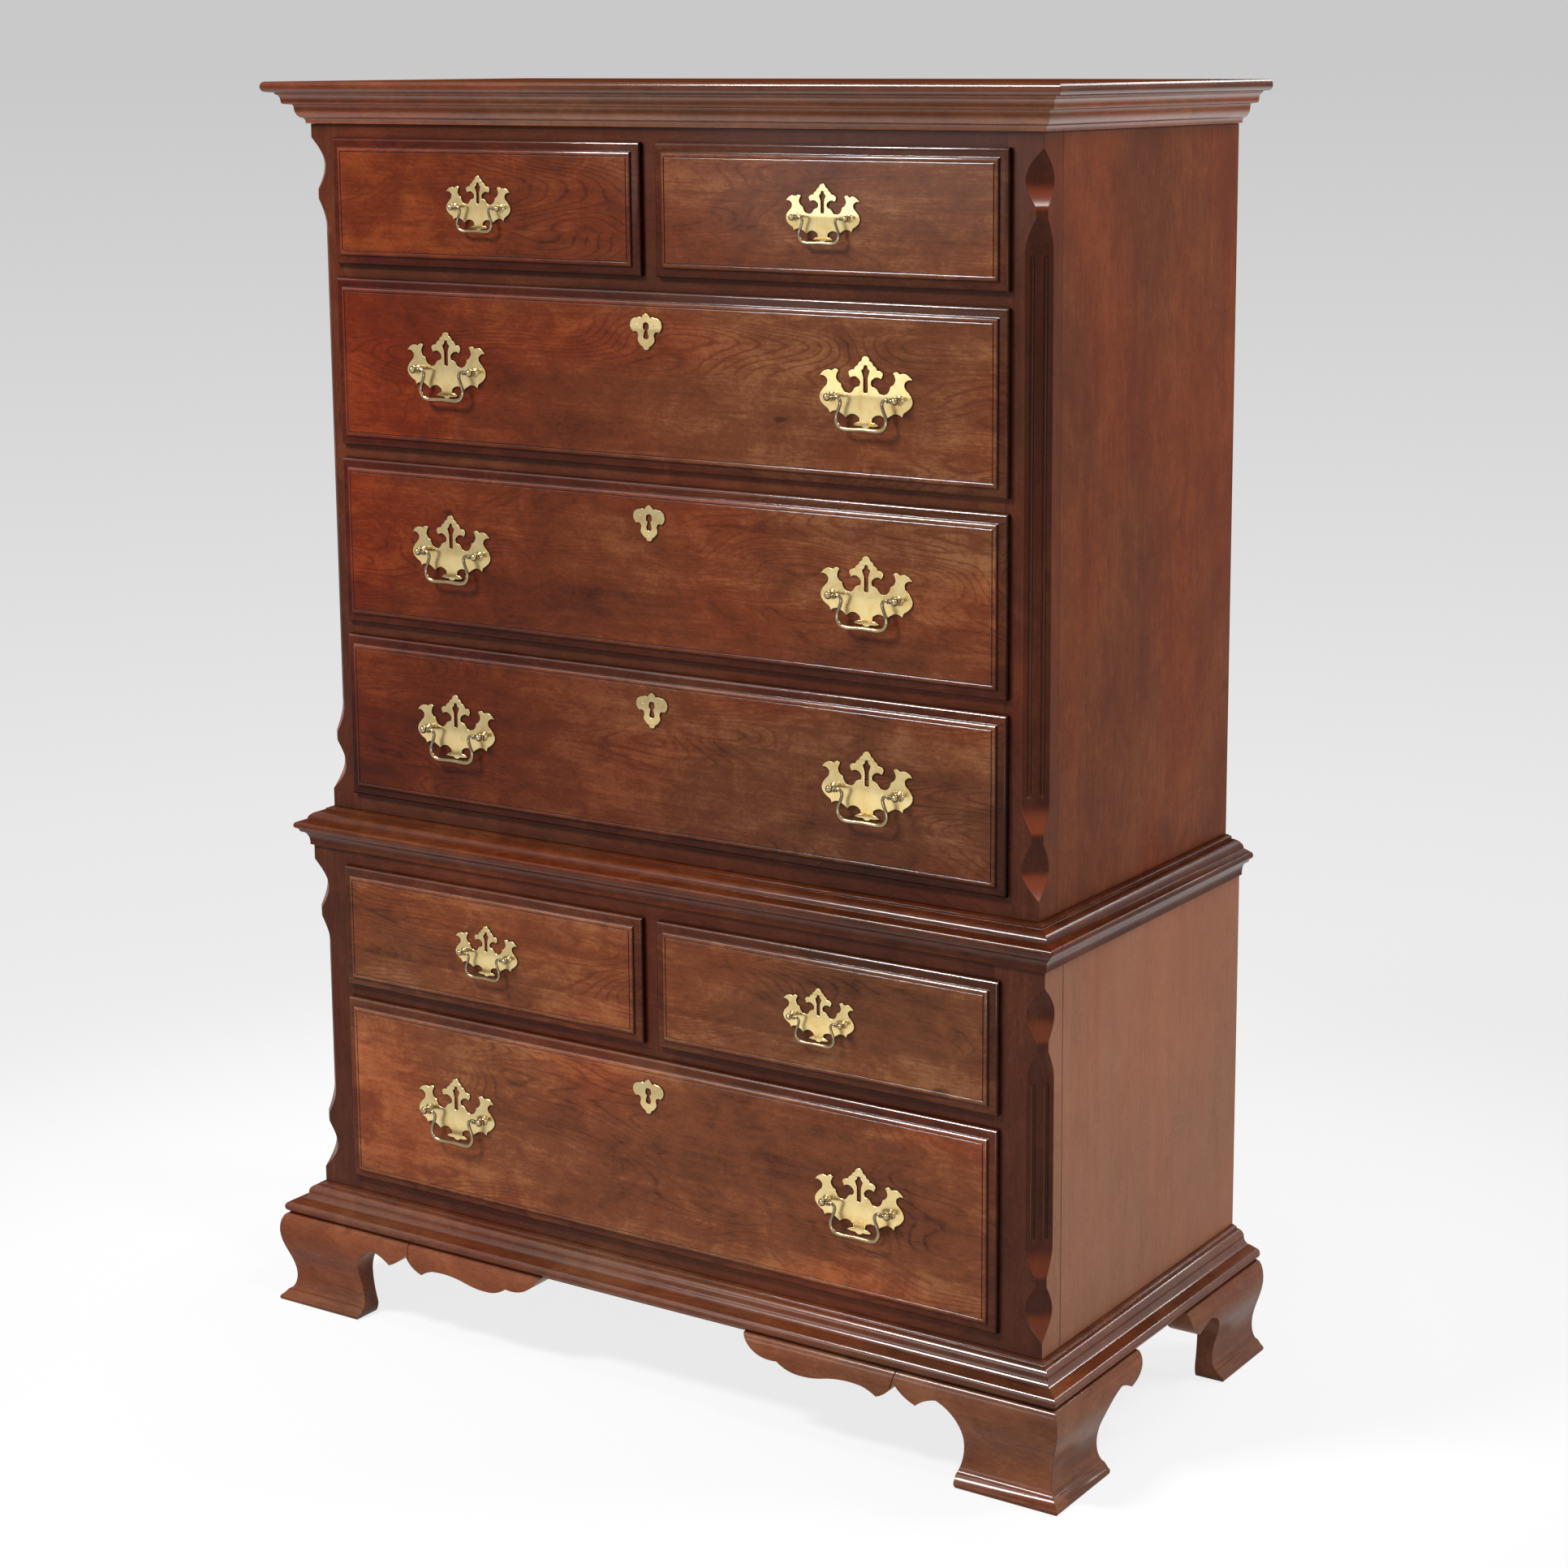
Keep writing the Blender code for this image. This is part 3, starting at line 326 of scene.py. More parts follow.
def sheet_mesh(name, outlines, place, near, far, edge=0.0):
    """A sheet cut to outlines, the first its edge and the rest holes, with an eased edge on its far side."""
    flat = [p for outline in outlines for p in outline]
    count = len(flat)
    faces = caps(outlines)
    points = [place(p.x, p.y, near) for p in flat]
    layers = [(flat, far)]
    if edge:
        step = math.copysign(edge, far - near)
        eased = [p for k, outline in enumerate(outlines) for p in inset(outline, -edge if k else edge)]
        layers = [(flat, far - step), (eased, far)]
    for level, depth in layers:
        points += [place(p.x, p.y, depth) for p in level]
    top = count * len(layers)
    faces += [(top + c, top + b, top + a) for a, b, c in faces]
    start = 0
    for outline in outlines:
        size = len(outline)
        area = sum(outline[k - 1].cross(outline[k]) for k in range(size))
        turned = (area > 0) == (outline is outlines[0])
        for k in range(size):
            low, high = start + k, start + (k + 1) % size
            low, high = (low, high) if turned else (high, low)
            for level in range(0, top, count):
                faces.append((level + high, level + low, level + count + low, level + count + high))
        start += size
    return mesh_from(name, points, outward(points, faces))


def add_object(name, mesh, material=None):
    obj = bpy.data.objects.new(name, mesh)
    bpy.context.scene.collection.objects.link(obj)
    if material:
        mesh.materials.clear()
        mesh.materials.append(material)
    return obj


def combine(obj, mesh, operation):
    """Cuts the mesh from the object, or joins it on."""
    tool = add_object(obj.name + "_tool", mesh)
    change = obj.modifiers.new("shape", "BOOLEAN")
    change.solver = "EXACT"
    change.operation = operation
    change.object = tool
    bpy.context.view_layer.update()
    result = bpy.data.meshes.new_from_object(obj.evaluated_get(bpy.context.evaluated_depsgraph_get()))
    obj.modifiers.clear()
    obj.data = result
    bpy.data.objects.remove(tool)


def soften(mesh, angle=SMOOTH_ANGLE, material=None):
    """Shades smooth across every edge that turns by less than the angle."""
    mesh.shade_smooth()
    mesh.set_sharp_from_angle(angle=angle)
    if material:
        mesh.materials.append(material)
    return mesh


def stand_in(obj, node):
    """The object rides where the node does, and is shown instead of it."""
    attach(obj, frame["nodes"][node]["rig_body"])
    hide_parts(node)


# Case


def add_moulding(node, shape, material):
    """A moulding with its board, run round the front and the sides and level with the back."""
    low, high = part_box(node)
    points = profile(*shape)
    nodes = "lower" if node != "cornice" else "upper"
    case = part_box(nodes + "_side_right")
    half = case[1].x
    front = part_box(nodes + "_face_frame")[0].y
    bottom, top, back = low.z - SEAM, high.z, high.y

    def ring(out, height):
        x, y = half + out, front - out
        return [(-x, back, height), (-x, y, height), (x, y, height), (x, back, height)]

    def inner(height):
        x, y, rear = half - BORDER, front + BORDER, back - BORDER
        return [(-x, rear, height), (-x, y, height), (x, y, height), (x, rear, height)]

    rings = [inner(top - BOARD_THICKNESS), inner(bottom + SEAM), ring(points[0][0], bottom + SEAM)]
    rings += [ring(out, bottom + height) for out, height in points[1:]]
    obj = add_object(node + "_run", ring_body(node, rings), material)
    soften(obj.data)
    stand_in(obj, node)


def stop_points(end, way):
    """Points (cut width, height) of one carved stop, from the sharp corner to the plain cant."""
    turns = [k / 14 for k in range(15)]
    points = [(CANT * math.sin(t * math.pi / 2), end + way * STOP_SCOOP * t) for t in turns]
    for t in turns[1:]:
        cut = CANT - (CANT - CANT_NECK) * (1 - math.cos(t * math.pi / 2))
        points.append((cut, end + way * (STOP_SCOOP + STOP_RELEASE * t)))
    neck_end = STOP_SCOOP + STOP_RELEASE + STOP_NECK
    for t in turns:
        cut = CANT_NECK + (CANT - CANT_NECK) * math.sin(t * math.pi / 2)
        points.append((cut, end + way * (neck_end + STOP_RETURN * t)))
    return points


def cant_cutter(side, half, front, low, high):
    """What is taken off a corner post's arris, with a carved stop at each end."""
    outline = stop_points(low, 1) + list(reversed(stop_points(high, -1)))
    outline = [Vector((cut / math.sqrt(2), height)) for cut, height in outline]
    outline += [Vector((-MARGIN, high)), Vector((-MARGIN, low))]

    def place(depth, height, along):
        x = half + (along - depth) / math.sqrt(2)
        y = front + (along + depth) / math.sqrt(2)
        return (side * x, y, height)

    return sheet_mesh("cant", [outline], place, -2 * CANT, 2 * CANT)


def flute_cutter(side, half, front, low, high, offset):
    """A flute in the cant, pointed at both ends."""
    radius = (FLUTE_WIDTH**2 / 4 + FLUTE_DEPTH**2) / (2 * FLUTE_DEPTH)
    depth = CANT / math.sqrt(2) - (radius - FLUTE_DEPTH)
    x = side * (half + (offset - depth) / math.sqrt(2))
    y = front + (offset + depth) / math.sqrt(2)
    tips = 6
    rings = []
    for end, way in ((low, 1), (high, -1)):
        ring_set = []
        for k in range(tips + 1):
            t = k / tips
            size = radius * max(math.sin(t * math.pi / 2), 0.12)
            height = end + way * FLUTE_TIP * (1 - math.cos(t * math.pi / 2))
            ring_set.append([(x + size * math.cos(a), y + size * math.sin(a), height) for a in around(32)])
        rings += ring_set if way > 0 else list(reversed(ring_set))
    return ring_body("flute", rings)


def fronts_of(case):
    """Lip edges of the case's drawers: left, right, low, high."""
    found = []
    for node in sorted(frame["nodes"]):
        if node.startswith(case + "_") and node.endswith("_front"):
            low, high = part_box(node)
            found.append((low.x, high.x, low.z, high.z))
    return found


def add_face_frame(case, material):
    """Posts and rails round the drawers, with runner and partition behind the two half-width ones."""
    node = case + "_face_frame"
    low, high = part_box(node)
    half, front = high.x, low.y
    rear = front + POST_DEPTH
    lips = fronts_of(case)
    solid = box_mesh(node, ((-half, front, low.z), (half, rear, high.z)))
    obj = add_object(node + "_carved", solid, material)
    y0, y1, lap = front - MARGIN, rear + MARGIN, LIP_OVERLAP
    openings = [((x0 + lap, y0, z0 + lap), (x1 - lap, y1, z1 - lap)) for x0, x1, z0, z1 in lips]
    combine(obj, box_mesh("openings", *openings), "DIFFERENCE")
    top = max(lips, key=lambda lip: (lip[3], lip[0]))
    stile, inside, end = top[0] + LIP_OVERLAP, rear - POST_DEPTH / 2, high.y
    level = top[2] + LIP_OVERLAP - RUNNER_DROP
    reach = stile + RUNNER_REACH
    runner = box_mesh("runner", ((-reach, inside, level - RUNNER_HEIGHT), (reach, end, level)))
    combine(obj, runner, "UNION")
    upright = ((-stile, inside, level - RUNNER_HEIGHT / 2), (stile, end, top[3] - LIP_OVERLAP / 2))
    combine(obj, box_mesh("partition", upright), "UNION")
    arris_low, arris_high = min(lip[2] for lip in lips), max(lip[3] for lip in lips)
    cants = [cant_cutter(side, half, front, arris_low, arris_high) for side in (-1, 1)]
    combine(obj, joined("cants", *cants), "DIFFERENCE")
    ends = STOP_SCOOP + STOP_RELEASE + STOP_NECK + STOP_RETURN + FLUTE_MARGIN
    flutes = [
        flute_cutter(side, half, front, arris_low + ends, arris_high - ends, offset)
        for side in (-1, 1)
        for offset in (-FLUTE_OFFSET, FLUTE_OFFSET)
    ]
    combine(obj, joined("flutes", *flutes), "DIFFERENCE")
    soften(obj.data)
    stand_in(obj, node)


def bracket_outline(knots, end):
    """What is sawn out of a foot under its bracket."""
    outer = [Vector((end, -MARGIN)), Vector((end, knots[0][1]))]
    return outer + arc_chain(knots, FOOT_ERROR) + [Vector((0.0, -MARGIN))]


def add_foot(node, side, material):
    """An ogee bracket foot. A front one is mitred at the corner, and a rear one is a single wing."""
    low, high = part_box(node)
    rear = "rear" in node
    outer_x, corner_y = max(abs(low.x), abs(high.x)), low.y
    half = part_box("lower_side_right")[1].x
    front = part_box("lower_face_frame")[0].y
    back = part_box("lower_side_right")[1].y
    inner_x, inner_y = outer_x - FOOT_STOCK, corner_y + FOOT_STOCK
    side_reach = max(u for u, _, _ in SIDE_BRACKET)
    front_end = outer_x - TOE_WIDTH - FRONT_BRACKET[0][0] - MARGIN / 2
    side_end = corner_y + SIDE_TOE_WIDTH + side_reach + MARGIN / 2
    rear_end = back - REAR_TOE_WIDTH - side_reach - MARGIN / 2

    def front_ring(out, height):
        x, y = half + out, front - out
        wing = [(x, y), (x, side_end), (inner_x, side_end)]
        wing += [(inner_x, inner_y), (front_end, inner_y), (front_end, y)]
        return [(side * px, py, height) for px, py in wing]

    def rear_ring(out, height):
        wing = [(half + out, back), (half + out, rear_end), (inner_x, rear_end), (inner_x, back)]
        return [(side * x, y, height) for x, y in wing]

    ring = rear_ring if rear else front_ring
    solid = ring_body(node, [ring(*point) for point in profile(*FOOT)])
    obj = add_object(node + "_carved", solid, material)

    def on_front(u, v, w):
        return (side * (outer_x - TOE_WIDTH - u), w, v)

    def on_side(u, v, w):
        return (side * w, back - REAR_TOE_WIDTH - u if rear else corner_y + SIDE_TOE_WIDTH + u, v)

    cut = bracket_outline(SIDE_BRACKET, side_reach + MARGIN)
    combine(obj, sheet_mesh("cut", [cut], on_side, inner_x - MARGIN, outer_x + MARGIN), "DIFFERENCE")
    if not rear:
        cut = bracket_outline(FRONT_BRACKET, FRONT_BRACKET[0][0] + MARGIN)
        combine(obj, sheet_mesh("cut", [cut], on_front, corner_y - MARGIN, inner_y + MARGIN), "DIFFERENCE")
        (upper, _), (lower, end) = JOINT
        wide, top = JOINT_WIDTH / 2, high.z + MARGIN
        cut = [(upper - wide, top), (upper + wide, top), (lower + wide, end), (lower - wide, end)]
        cut = [[Vector(p) for p in cut]]
        cut = sheet_mesh("cut", cut, on_front, corner_y - MARGIN, corner_y + JOINT_DEPTH)
        combine(obj, cut, "DIFFERENCE")
    soften(obj.data)
    stand_in(obj, node)


# Drawers and their brass


def front_levels():
    """Points (inset, depth) across the moulded edge of a drawer front, from the back of the lip."""
    points = [(0.0, 0.0), (0.0, LIP_EDGE)]

    def quarter_round(width, rise):
        start, depth = points[-1]
        for k in range(1, 9):
            turn = k / 8 * math.pi / 2
            points.append((start + width * (1 - math.cos(turn)), depth + rise * math.sin(turn)))

    quarter_round(*BEAD)
    start, depth = points[-1]
    points.append((start + FILLET[0], depth + FILLET[1]))
    quarter_round(*OVOLO)
    start, depth = points[-1]
    for k in range(1, 5):
        turn = k / 4 * math.pi
        points.append((start + QUIRK[0] * k / 4, depth - QUIRK[1] * math.sin(turn)))
    return points


def add_front(node, material):
    """A drawer front: the board that fills the opening, and its moulded lip."""
    low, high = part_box(node)
    x, z = (low.x + high.x) / 2, (low.z + high.z) / 2
    half_w, half_h = (high.x - low.x) / 2, (high.z - low.z) / 2
    front = high.y - TONGUE_DEPTH
    wide = half_w - LIP_OVERLAP - SIDE_CLEARANCE
    bottom, top = LIP_OVERLAP + SEAM - half_h, half_h - LIP_OVERLAP - TOP_CLEARANCE

    def ring(wide, bottom, top, y):
        corners = ((x - wide, bottom), (x + wide, bottom), (x + wide, top), (x - wide, top))
        return [(px, y, z + pz) for px, pz in corners]

    rings = [ring(wide, bottom, top, high.y), ring(wide, bottom, top, front - LIP_GAP)]
    for within, depth in front_levels():
        rings.append(ring(half_w - within, within - half_h, half_h - within, front - LIP_GAP - depth))
    obj = add_object(node + "_board", ring_body(node, rings), material)
    soften(obj.data)
    stand_in(obj, node)


def front_place(x, z, y):
    return (x, y, z)


def turned_y(x, rings, sides):
    """A turning along y, from rings (y, radius)."""
    circles = [[(x + r * math.cos(a), y, r * math.sin(a)) for a in around(sides)] for y, r in rings]
    return ring_body("turned", circles)


def turned_x(rings, sides, y=0.0):
    """A turning along x, from rings (x, radius)."""
    circles = [[(x, y + r * math.cos(a), r * math.sin(a)) for a in around(sides)] for x, r in rings]
    return ring_body("turned", circles)


def plate_mesh(name, scale, material):
    """A pull's pierced plate and its two posts, bored for the bail's pins."""
    outlines = [mirrored(PLATE, scale), mirrored(PLATE_KEYHOLE, scale)]
    sheet = sheet_mesh(name, outlines, front_place, 0, -PLATE_THICKNESS, PLATE_EDGE)
    soften(sheet, math.radians(25))
    half, reach = PULL_BORE * scale / 2, POST_REACH * scale
    rings = [(-PLATE_THICKNESS - share * reach, radius * scale) for share, radius in POST]
    rings.insert(0, (-PLATE_THICKNESS / 2, POST[0][1] * scale))
    pin = PIN_RADIUS * scale + PIVOT_CLEARANCE
    depth = PIN_REACH * scale + PIVOT_CLEARANCE
    posts = []
    for side in (-1, 1):
        post = add_object("post", turned_y(side * half, rings, 28))
        ends = [(side * (half + depth), pin), (side * (half - 0.008 * scale), pin)]
        combine(post, turned_x(ends, 16, -PLATE_THICKNESS - reach), "DIFFERENCE")
        posts.append(post.data)
        bpy.data.objects.remove(post)
    return soften(joined(name, sheet, *posts), math.radians(28), material)


def spline(knots, per):
    """A smooth path through the knots."""
    points = []
    for k in range(len(knots) - 1):
        p = [Vector(knots[min(max(k + j, 0), len(knots) - 1)]) for j in (-1, 0, 1, 2)]
        for step in range(per):
            t = step / per
            points.append(
                0.5 * (2 * p[1] + (p[2] - p[0]) * t + (2 * p[0] - 5 * p[1] + 4 * p[2] - p[3]) * t * t
                       + (3 * p[1] - p[0] - 3 * p[2] + p[3]) * t**3)
            )
    return points + [Vector(knots[-1])]


def bail_mesh(name, scale, material):
    """The bail, hanging from the pivot axis at its origin, with turned beads on its two pins."""
    half = PULL_BORE * scale / 2
    knots = [(half + PIN_REACH * scale, 0.0, 0.0)]
    knots += [(half - x * scale, z * scale, share) for x, z, share in BAIL]
    knots += [(-x, z, share) for x, z, share in reversed(knots[:-1])]
    path = spline(knots, 7)
    rings = []
    for k, point in enumerate(path):
        before, after = path[max(k - 1, 0)], path[min(k + 1, len(path) - 1)]
        way = Vector((after.x - before.x, 0, after.y - before.y)).normalized()
        across = Vector((-way.z, 0, way.x))
        radius = scale * (PIN_RADIUS + (GRIP_RADIUS - PIN_RADIUS) * max(point.z, 0.0))
        ring = [(radius * math.cos(a), radius * math.sin(a)) for a in around(16)]
        rings.append([(point.x + across.x * u, v, point.y + across.z * u) for u, v in ring])
    parts = [ring_body(name, rings)]
    for bead in BAIL_BEADS:
        for side in (-1, 1):
            centre, size = side * (half - bead * scale), PIN_RADIUS * scale
            arc = [k / 6 * math.pi for k in range(7)]
            rings = [(centre - BEAD_WIDTH * scale * math.cos(a), size * (0.7 + math.sin(a))) for a in arc]
            parts.append(turned_x(rings, 18))
    return soften(joined(name, *parts), math.radians(60), material)


def escutcheon_mesh(name, material):
    """A keyhole plate with its three pins."""
    outlines = [mirrored(ESCUTCHEON), mirrored(ESCUTCHEON_KEYHOLE)]
    sheet = sheet_mesh(name, outlines, front_place, 0, -PLATE_THICKNESS, PLATE_EDGE)
    head = [(depth - PLATE_THICKNESS, radius) for depth, radius in PIN_HEAD]
    pins = []
    for x, z in ESCUTCHEON_PINS:
        pins.append(turned_y(x, head, 12))
        pins[-1].transform(Matrix.Translation((0, 0, z)))
    return soften(joined(name, sheet, *pins), math.radians(25), material)


def place_brass(plates, bails, escutcheon):
    """Each plate, bail and escutcheon goes where its node is; the size of a pull follows its node's width."""
    for node in sorted(frame["nodes"]):
        low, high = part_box(node)
        full = high.x - low.x > (1 + SMALL_PULL) * max(x for x, _, _ in PLATE)
        size, scale = ("full", 1.0) if full else ("small", SMALL_PULL)
        if node.endswith("_plate"):
            obj = add_object(node + "_brass", plates[size])
            obj.location = ((low.x + high.x) / 2, high.y, low.z - scale * PLATE[-1][1])
            bail = add_object(node.replace("_plate", "_bail") + "_brass", bails[size])
            bail.location = obj.location + Vector((0, -PLATE_THICKNESS - POST_REACH * scale, 0))
            stand_in(bail, node.replace("_plate", "_bail"))
        elif node.endswith("_escutcheon"):
            obj = add_object(node + "_brass", escutcheon)
            obj.location = ((low.x + high.x) / 2, high.y, low.z - ESCUTCHEON[-1][1])
        else:
            continue
        stand_in(obj, node)


# Materials


class Nodes:
    """Short names for making nodes in one tree."""

    def __init__(self, tree):
        self.tree = tree

    def put(self, socket, value):
        if isinstance(value, bpy.types.NodeSocket):
            self.tree.links.new(value, socket)
        elif value is not None:
            socket.default_value = (*value, 1.0) if socket.type == "RGBA" else value

    def add(self, kind, inputs=(), **settings):
        """A node with its inputs, given in order or by name."""
        node = self.tree.nodes.new(kind)
        for key, value in settings.items():
            setattr(node, key, value)
        for key, value in inputs.items() if isinstance(inputs, dict) else enumerate(inputs):
            self.put(node.inputs[key], value)
        return node

    def math(self, operation, a, b=None, c=None, clamp=False):
        return self.add("ShaderNodeMath", (a, b, c), operation=operation, use_clamp=clamp).outputs[0]

    plus = partialmethod(math, "ADD")
    minus = partialmethod(math, "SUBTRACT")
    times = partialmethod(math, "MULTIPLY")
    above = partialmethod(math, "GREATER_THAN")
    below = partialmethod(math, "LESS_THAN")
    size = partialmethod(math, "ABSOLUTE")

    def vector(self, x, y, z):
        return self.add("ShaderNodeCombineXYZ", (x, y, z)).outputs[0]

    def split(self, vector):
        return self.add("ShaderNodeSeparateXYZ", (vector,)).outputs

    def stretch(self, vector, scale):
        return self.add("ShaderNodeVectorMath", (vector, scale), operation="MULTIPLY").outputs[0]

    def noise(self, vector, scale=1.0, detail=2.0, rough=0.5, twist=0.0):
        inputs = {"Vector": vector, "Scale": scale, "Detail": detail, "Roughness": rough, "Distortion": twist}
        return self.add("ShaderNodeTexNoise", inputs).outputs["Fac"]

    def random(self, vector):
        return self.add("ShaderNodeTexWhiteNoise", {"Vector": vector}).outputs

    def ramp(self, value, low, high):
        """0 up to low and 1 from high on, smooth between."""
        return self.add("ShaderNodeMapRange", (value, low, high), interpolation_type="SMOOTHSTEP").outputs[0]

    def mix(self, share, a, b, kind="MIX"):
        inputs = {0: share, 6: a, 7: b}
        return self.add("ShaderNodeMix", inputs, data_type="RGBA", blend_type=kind).outputs[2]

    def stain(self, share, base, colour):
        """The base multiplied by the colour, as far as the share says."""
        return self.mix(share, base, colour, "MULTIPLY")

    def mix_vector(self, share, a, b):
        return self.add("ShaderNodeMix", {0: share, 4: a, 5: b}, data_type="VECTOR").outputs[1]

    def colours(self, value, stops):
        node = self.add("ShaderNodeValToRGB", (value,))
        ramp = node.color_ramp
        while len(ramp.elements) < len(stops):
            ramp.elements.new(0.5)
        for element, (place, colour) in zip(ramp.elements, stops):
            element.position = place
            element.color = (*colour, 1.0)
        return node.outputs[0]


def new_material(name, **constants):
    material = bpy.data.materials.new(name)
    material.use_nodes = True
    shader = material.node_tree.nodes["Principled BSDF"]
    for socket, value in constants.items():
        shader.inputs[socket.replace("_", " ")].default_value = value
    return material, shader, Nodes(material.node_tree)


def object_point(n):
    return n.add("ShaderNodeTexCoord").outputs["Object"]


def along(n, point, axis):
    """The point with the grain's way first."""
    x, y, z = n.split(point)
    return {"x": n.vector(x, z, y), "y": n.vector(y, z, x), "z": n.vector(z, x, y)}[axis]


# Noises of the wood: scale along the grain and across it, detail, roughness, distortion
GRAIN = {
    "wander": (14.0, 70.0, 3.0, 0.6, 0.0),
    "patch": (4.0, 14.0, 2.0, 0.5, 0.0),
    "fibre": (24.0, 900.0, 3.0, 0.6, 0.0),
    "thread": (17.0, 230.0, 4.0, 0.68, 0.0),
    "streak": (2.6, 75.0, 3.0, 0.55, 0.0),
    "mottle": (20.0, 30.0, 5.0, 0.62, 0.8),
    "speckle": (150.0, 260.0, 3.0, 0.7, 0.0),
    "cloud": (3.0, 6.0, 3.0, 0.55, 0.5),
    "fleck": (70.0, 420.0, 1.0, 0.5, 0.0),
    "knot": (13.0, 30.0, 2.0, 0.6, 0.0),
    "warmth": (3.1, 7.0, 1.0, 0.5, 0.0),
}
RING_TURNS = 1050.0

# Dark, middle and light of each wood
CHERRY = ((0.026, 0.0046, 0.0018), (0.118, 0.0275, 0.0085), (0.275, 0.0950, 0.0340))
FRAME_CHERRY = ((0.020, 0.0044, 0.0020), (0.066, 0.0168, 0.0070), (0.140, 0.0440, 0.0185))
SIDE_CHERRY = ((0.046, 0.0084, 0.0022), (0.111, 0.0255, 0.0065), (0.205, 0.0590, 0.0175))
# The lower case's side boards, paler by a painted reflection, a pale haze
LOWER_SIDE_CHERRY_PAINTED_HAZE = ((0.143, 0.0540, 0.0270), (0.268, 0.1130, 0.0610), (0.380, 0.1740, 0.0950))
CORNICE_CHERRY = ((0.060, 0.0140, 0.0040), (0.190, 0.0540, 0.0155), (0.345, 0.1230, 0.0390))
BASE_CHERRY = ((0.028, 0.0082, 0.0042), (0.092, 0.0295, 0.0140), (0.175, 0.0670, 0.0310))
WAIST_CHERRY = ((0.022, 0.0044, 0.0018), (0.076, 0.0180, 0.0062), (0.155, 0.0470, 0.0170))
FOOT_CHERRY = ((0.042, 0.0130, 0.0060), (0.132, 0.0460, 0.0200), (0.237, 0.0970, 0.0440))
BOX_WOOD = ((0.20, 0.125, 0.060), (0.40, 0.27, 0.145), (0.56, 0.42, 0.26))
BACK_WOOD = ((0.17, 0.092, 0.042), (0.31, 0.185, 0.095), (0.44, 0.29, 0.165))

# Stains, and painted light and shade, that the woods are multiplied by or mixed with
WARM_STAIN = (1.15, 0.78, 0.60)
# Painted shade in recesses and between parts, standing also for dark glaze
DEEP_GLAZE_AND_SHADE = (0.16, 0.12, 0.12)
JOINT_STAIN = (0.3, 0.3, 0.3)
SEAM_STAIN = (0.16, 0.07, 0.04)
# Painted shade on the sideways-turned ends of the drawer fronts' lips
END_PAINTED_SHADE = (0.22, 0.14, 0.14)
# Darkens the drawer fronts' moulded edges outside their flat fields
LIP_DARKENING = (0.46, 0.38, 0.38)
# Painted shade on the cornice above its crown
CROWN_PAINTED_SHADE = (0.48, 0.46, 0.55)
# Painted shade at the left of the drawer fronts, and a painted reflection, a pale haze, at their right
LEFT_PAINTED_SHADE, RIGHT_PAINTED_HAZE = (0.80, 0.52, 0.34), (1.00, 1.30, 1.52)
# Painted shade low in the upper case's fronts
LOW_PAINTED_SHADE = (0.70, 0.69, 0.71)
# Painted reflection, a pale haze, on the lower case's fronts
ROW6_PAINTED_HAZE, ROW5_PAINTED_HAZE = (1.30, 1.60, 1.74), (1.08, 1.50, 1.74)
# Painted light on the upward faces of the posts' scoops
SCOOP_PAINTED_LIGHT = (0.27, 0.050, 0.014)

COAT = {"Coat_Roughness": 0.14, "Coat_IOR": 1.9, "Specular_IOR_Level": 0.06}
EASED_EDGE = 0.0010
SAWN_EDGE = 0.0004
GRAIN_DEPTH = 0.00025
GLAZE_AND_SHADE_REACH = 0.012


def wood_figure(n, grain, board, tones, figure=1.0, blotch=1.0, seed=0.0):
    """Colour, height and streaks of wood. grain holds the way along it, across the board and into it."""

    def pattern(name):
        along_grain, across_grain, detail, rough, twist = GRAIN[name]
        place = n.stretch(grain, (along_grain, across_grain, across_grain))
        return n.noise(place, 1.0, detail, rough, twist)

    def spread(value, weight):
        return n.times(n.minus(value, 0.5), weight)

    u, v, w = n.split(grain)
    place = n.math("DIVIDE", n.plus(v, seed), board)
    dice = n.random(n.vector(n.math("FLOOR", place), seed, 3.0))
    tone, colour = dice[0], n.split(dice[1])

    # Growth rings, cut by the face of each board
    across = n.times(n.minus(n.math("FRACT", place), 0.5), board)
    length = n.plus(u, n.times(tone, 9.0))
    slow = n.noise(n.vector(n.times(length, 3.0), n.times(across, 12.0), colour[0]), 1.0, 1.0)
    depth = n.plus(n.times(n.minus(slow, 0.30), 0.20), w)
    centre = n.plus(across, n.times(n.minus(colour[1], 0.5), 0.05))
    ring = n.math("SQRT", n.plus(n.times(centre, centre), n.times(depth, depth)))
    turns = n.plus(n.times(ring, RING_TURNS), n.times(pattern("wander"), 5.0))
    line = n.math("POWER", n.plus(n.times(n.math("SINE", turns), 0.5), 0.5), 7.0)
    line = n.times(line, n.ramp(pattern("patch"), 0.42, 0.66))

    fibre, streak = pattern("fibre"), pattern("streak")
    fleck = n.ramp(pattern("fleck"), 0.66, 0.80)
    knot = n.ramp(pattern("knot"), 0.70, 0.80)
    total = n.plus(spread(tone, 0.16), 0.5)
    for value, weight in (
        (pattern("cloud"), 1.00 * blotch), (pattern("mottle"), 0.75 * blotch), (streak, 0.30),
        (pattern("thread"), 0.30), (fibre, 0.25), (pattern("speckle"), 0.40),
    ):
        total = n.plus(total, spread(value, weight))
    for value, weight in ((line, 0.20 * figure), (fleck, 0.15), (knot, 0.35 * blotch)):
        total = n.minus(total, n.times(value, weight))
    total = n.math("MAXIMUM", n.math("MINIMUM", total, 1.0), 0.0)
    base = n.colours(total, tuple(zip((0.0, 0.5, 1.0), tones)))
    warm = n.times(n.ramp(pattern("warmth"), 0.42, 0.66), 0.75 * blotch)
    height = n.minus(n.times(fibre, 0.7), n.times(line, 0.35))
    return n.stain(warm, base, WARM_STAIN), height, streak


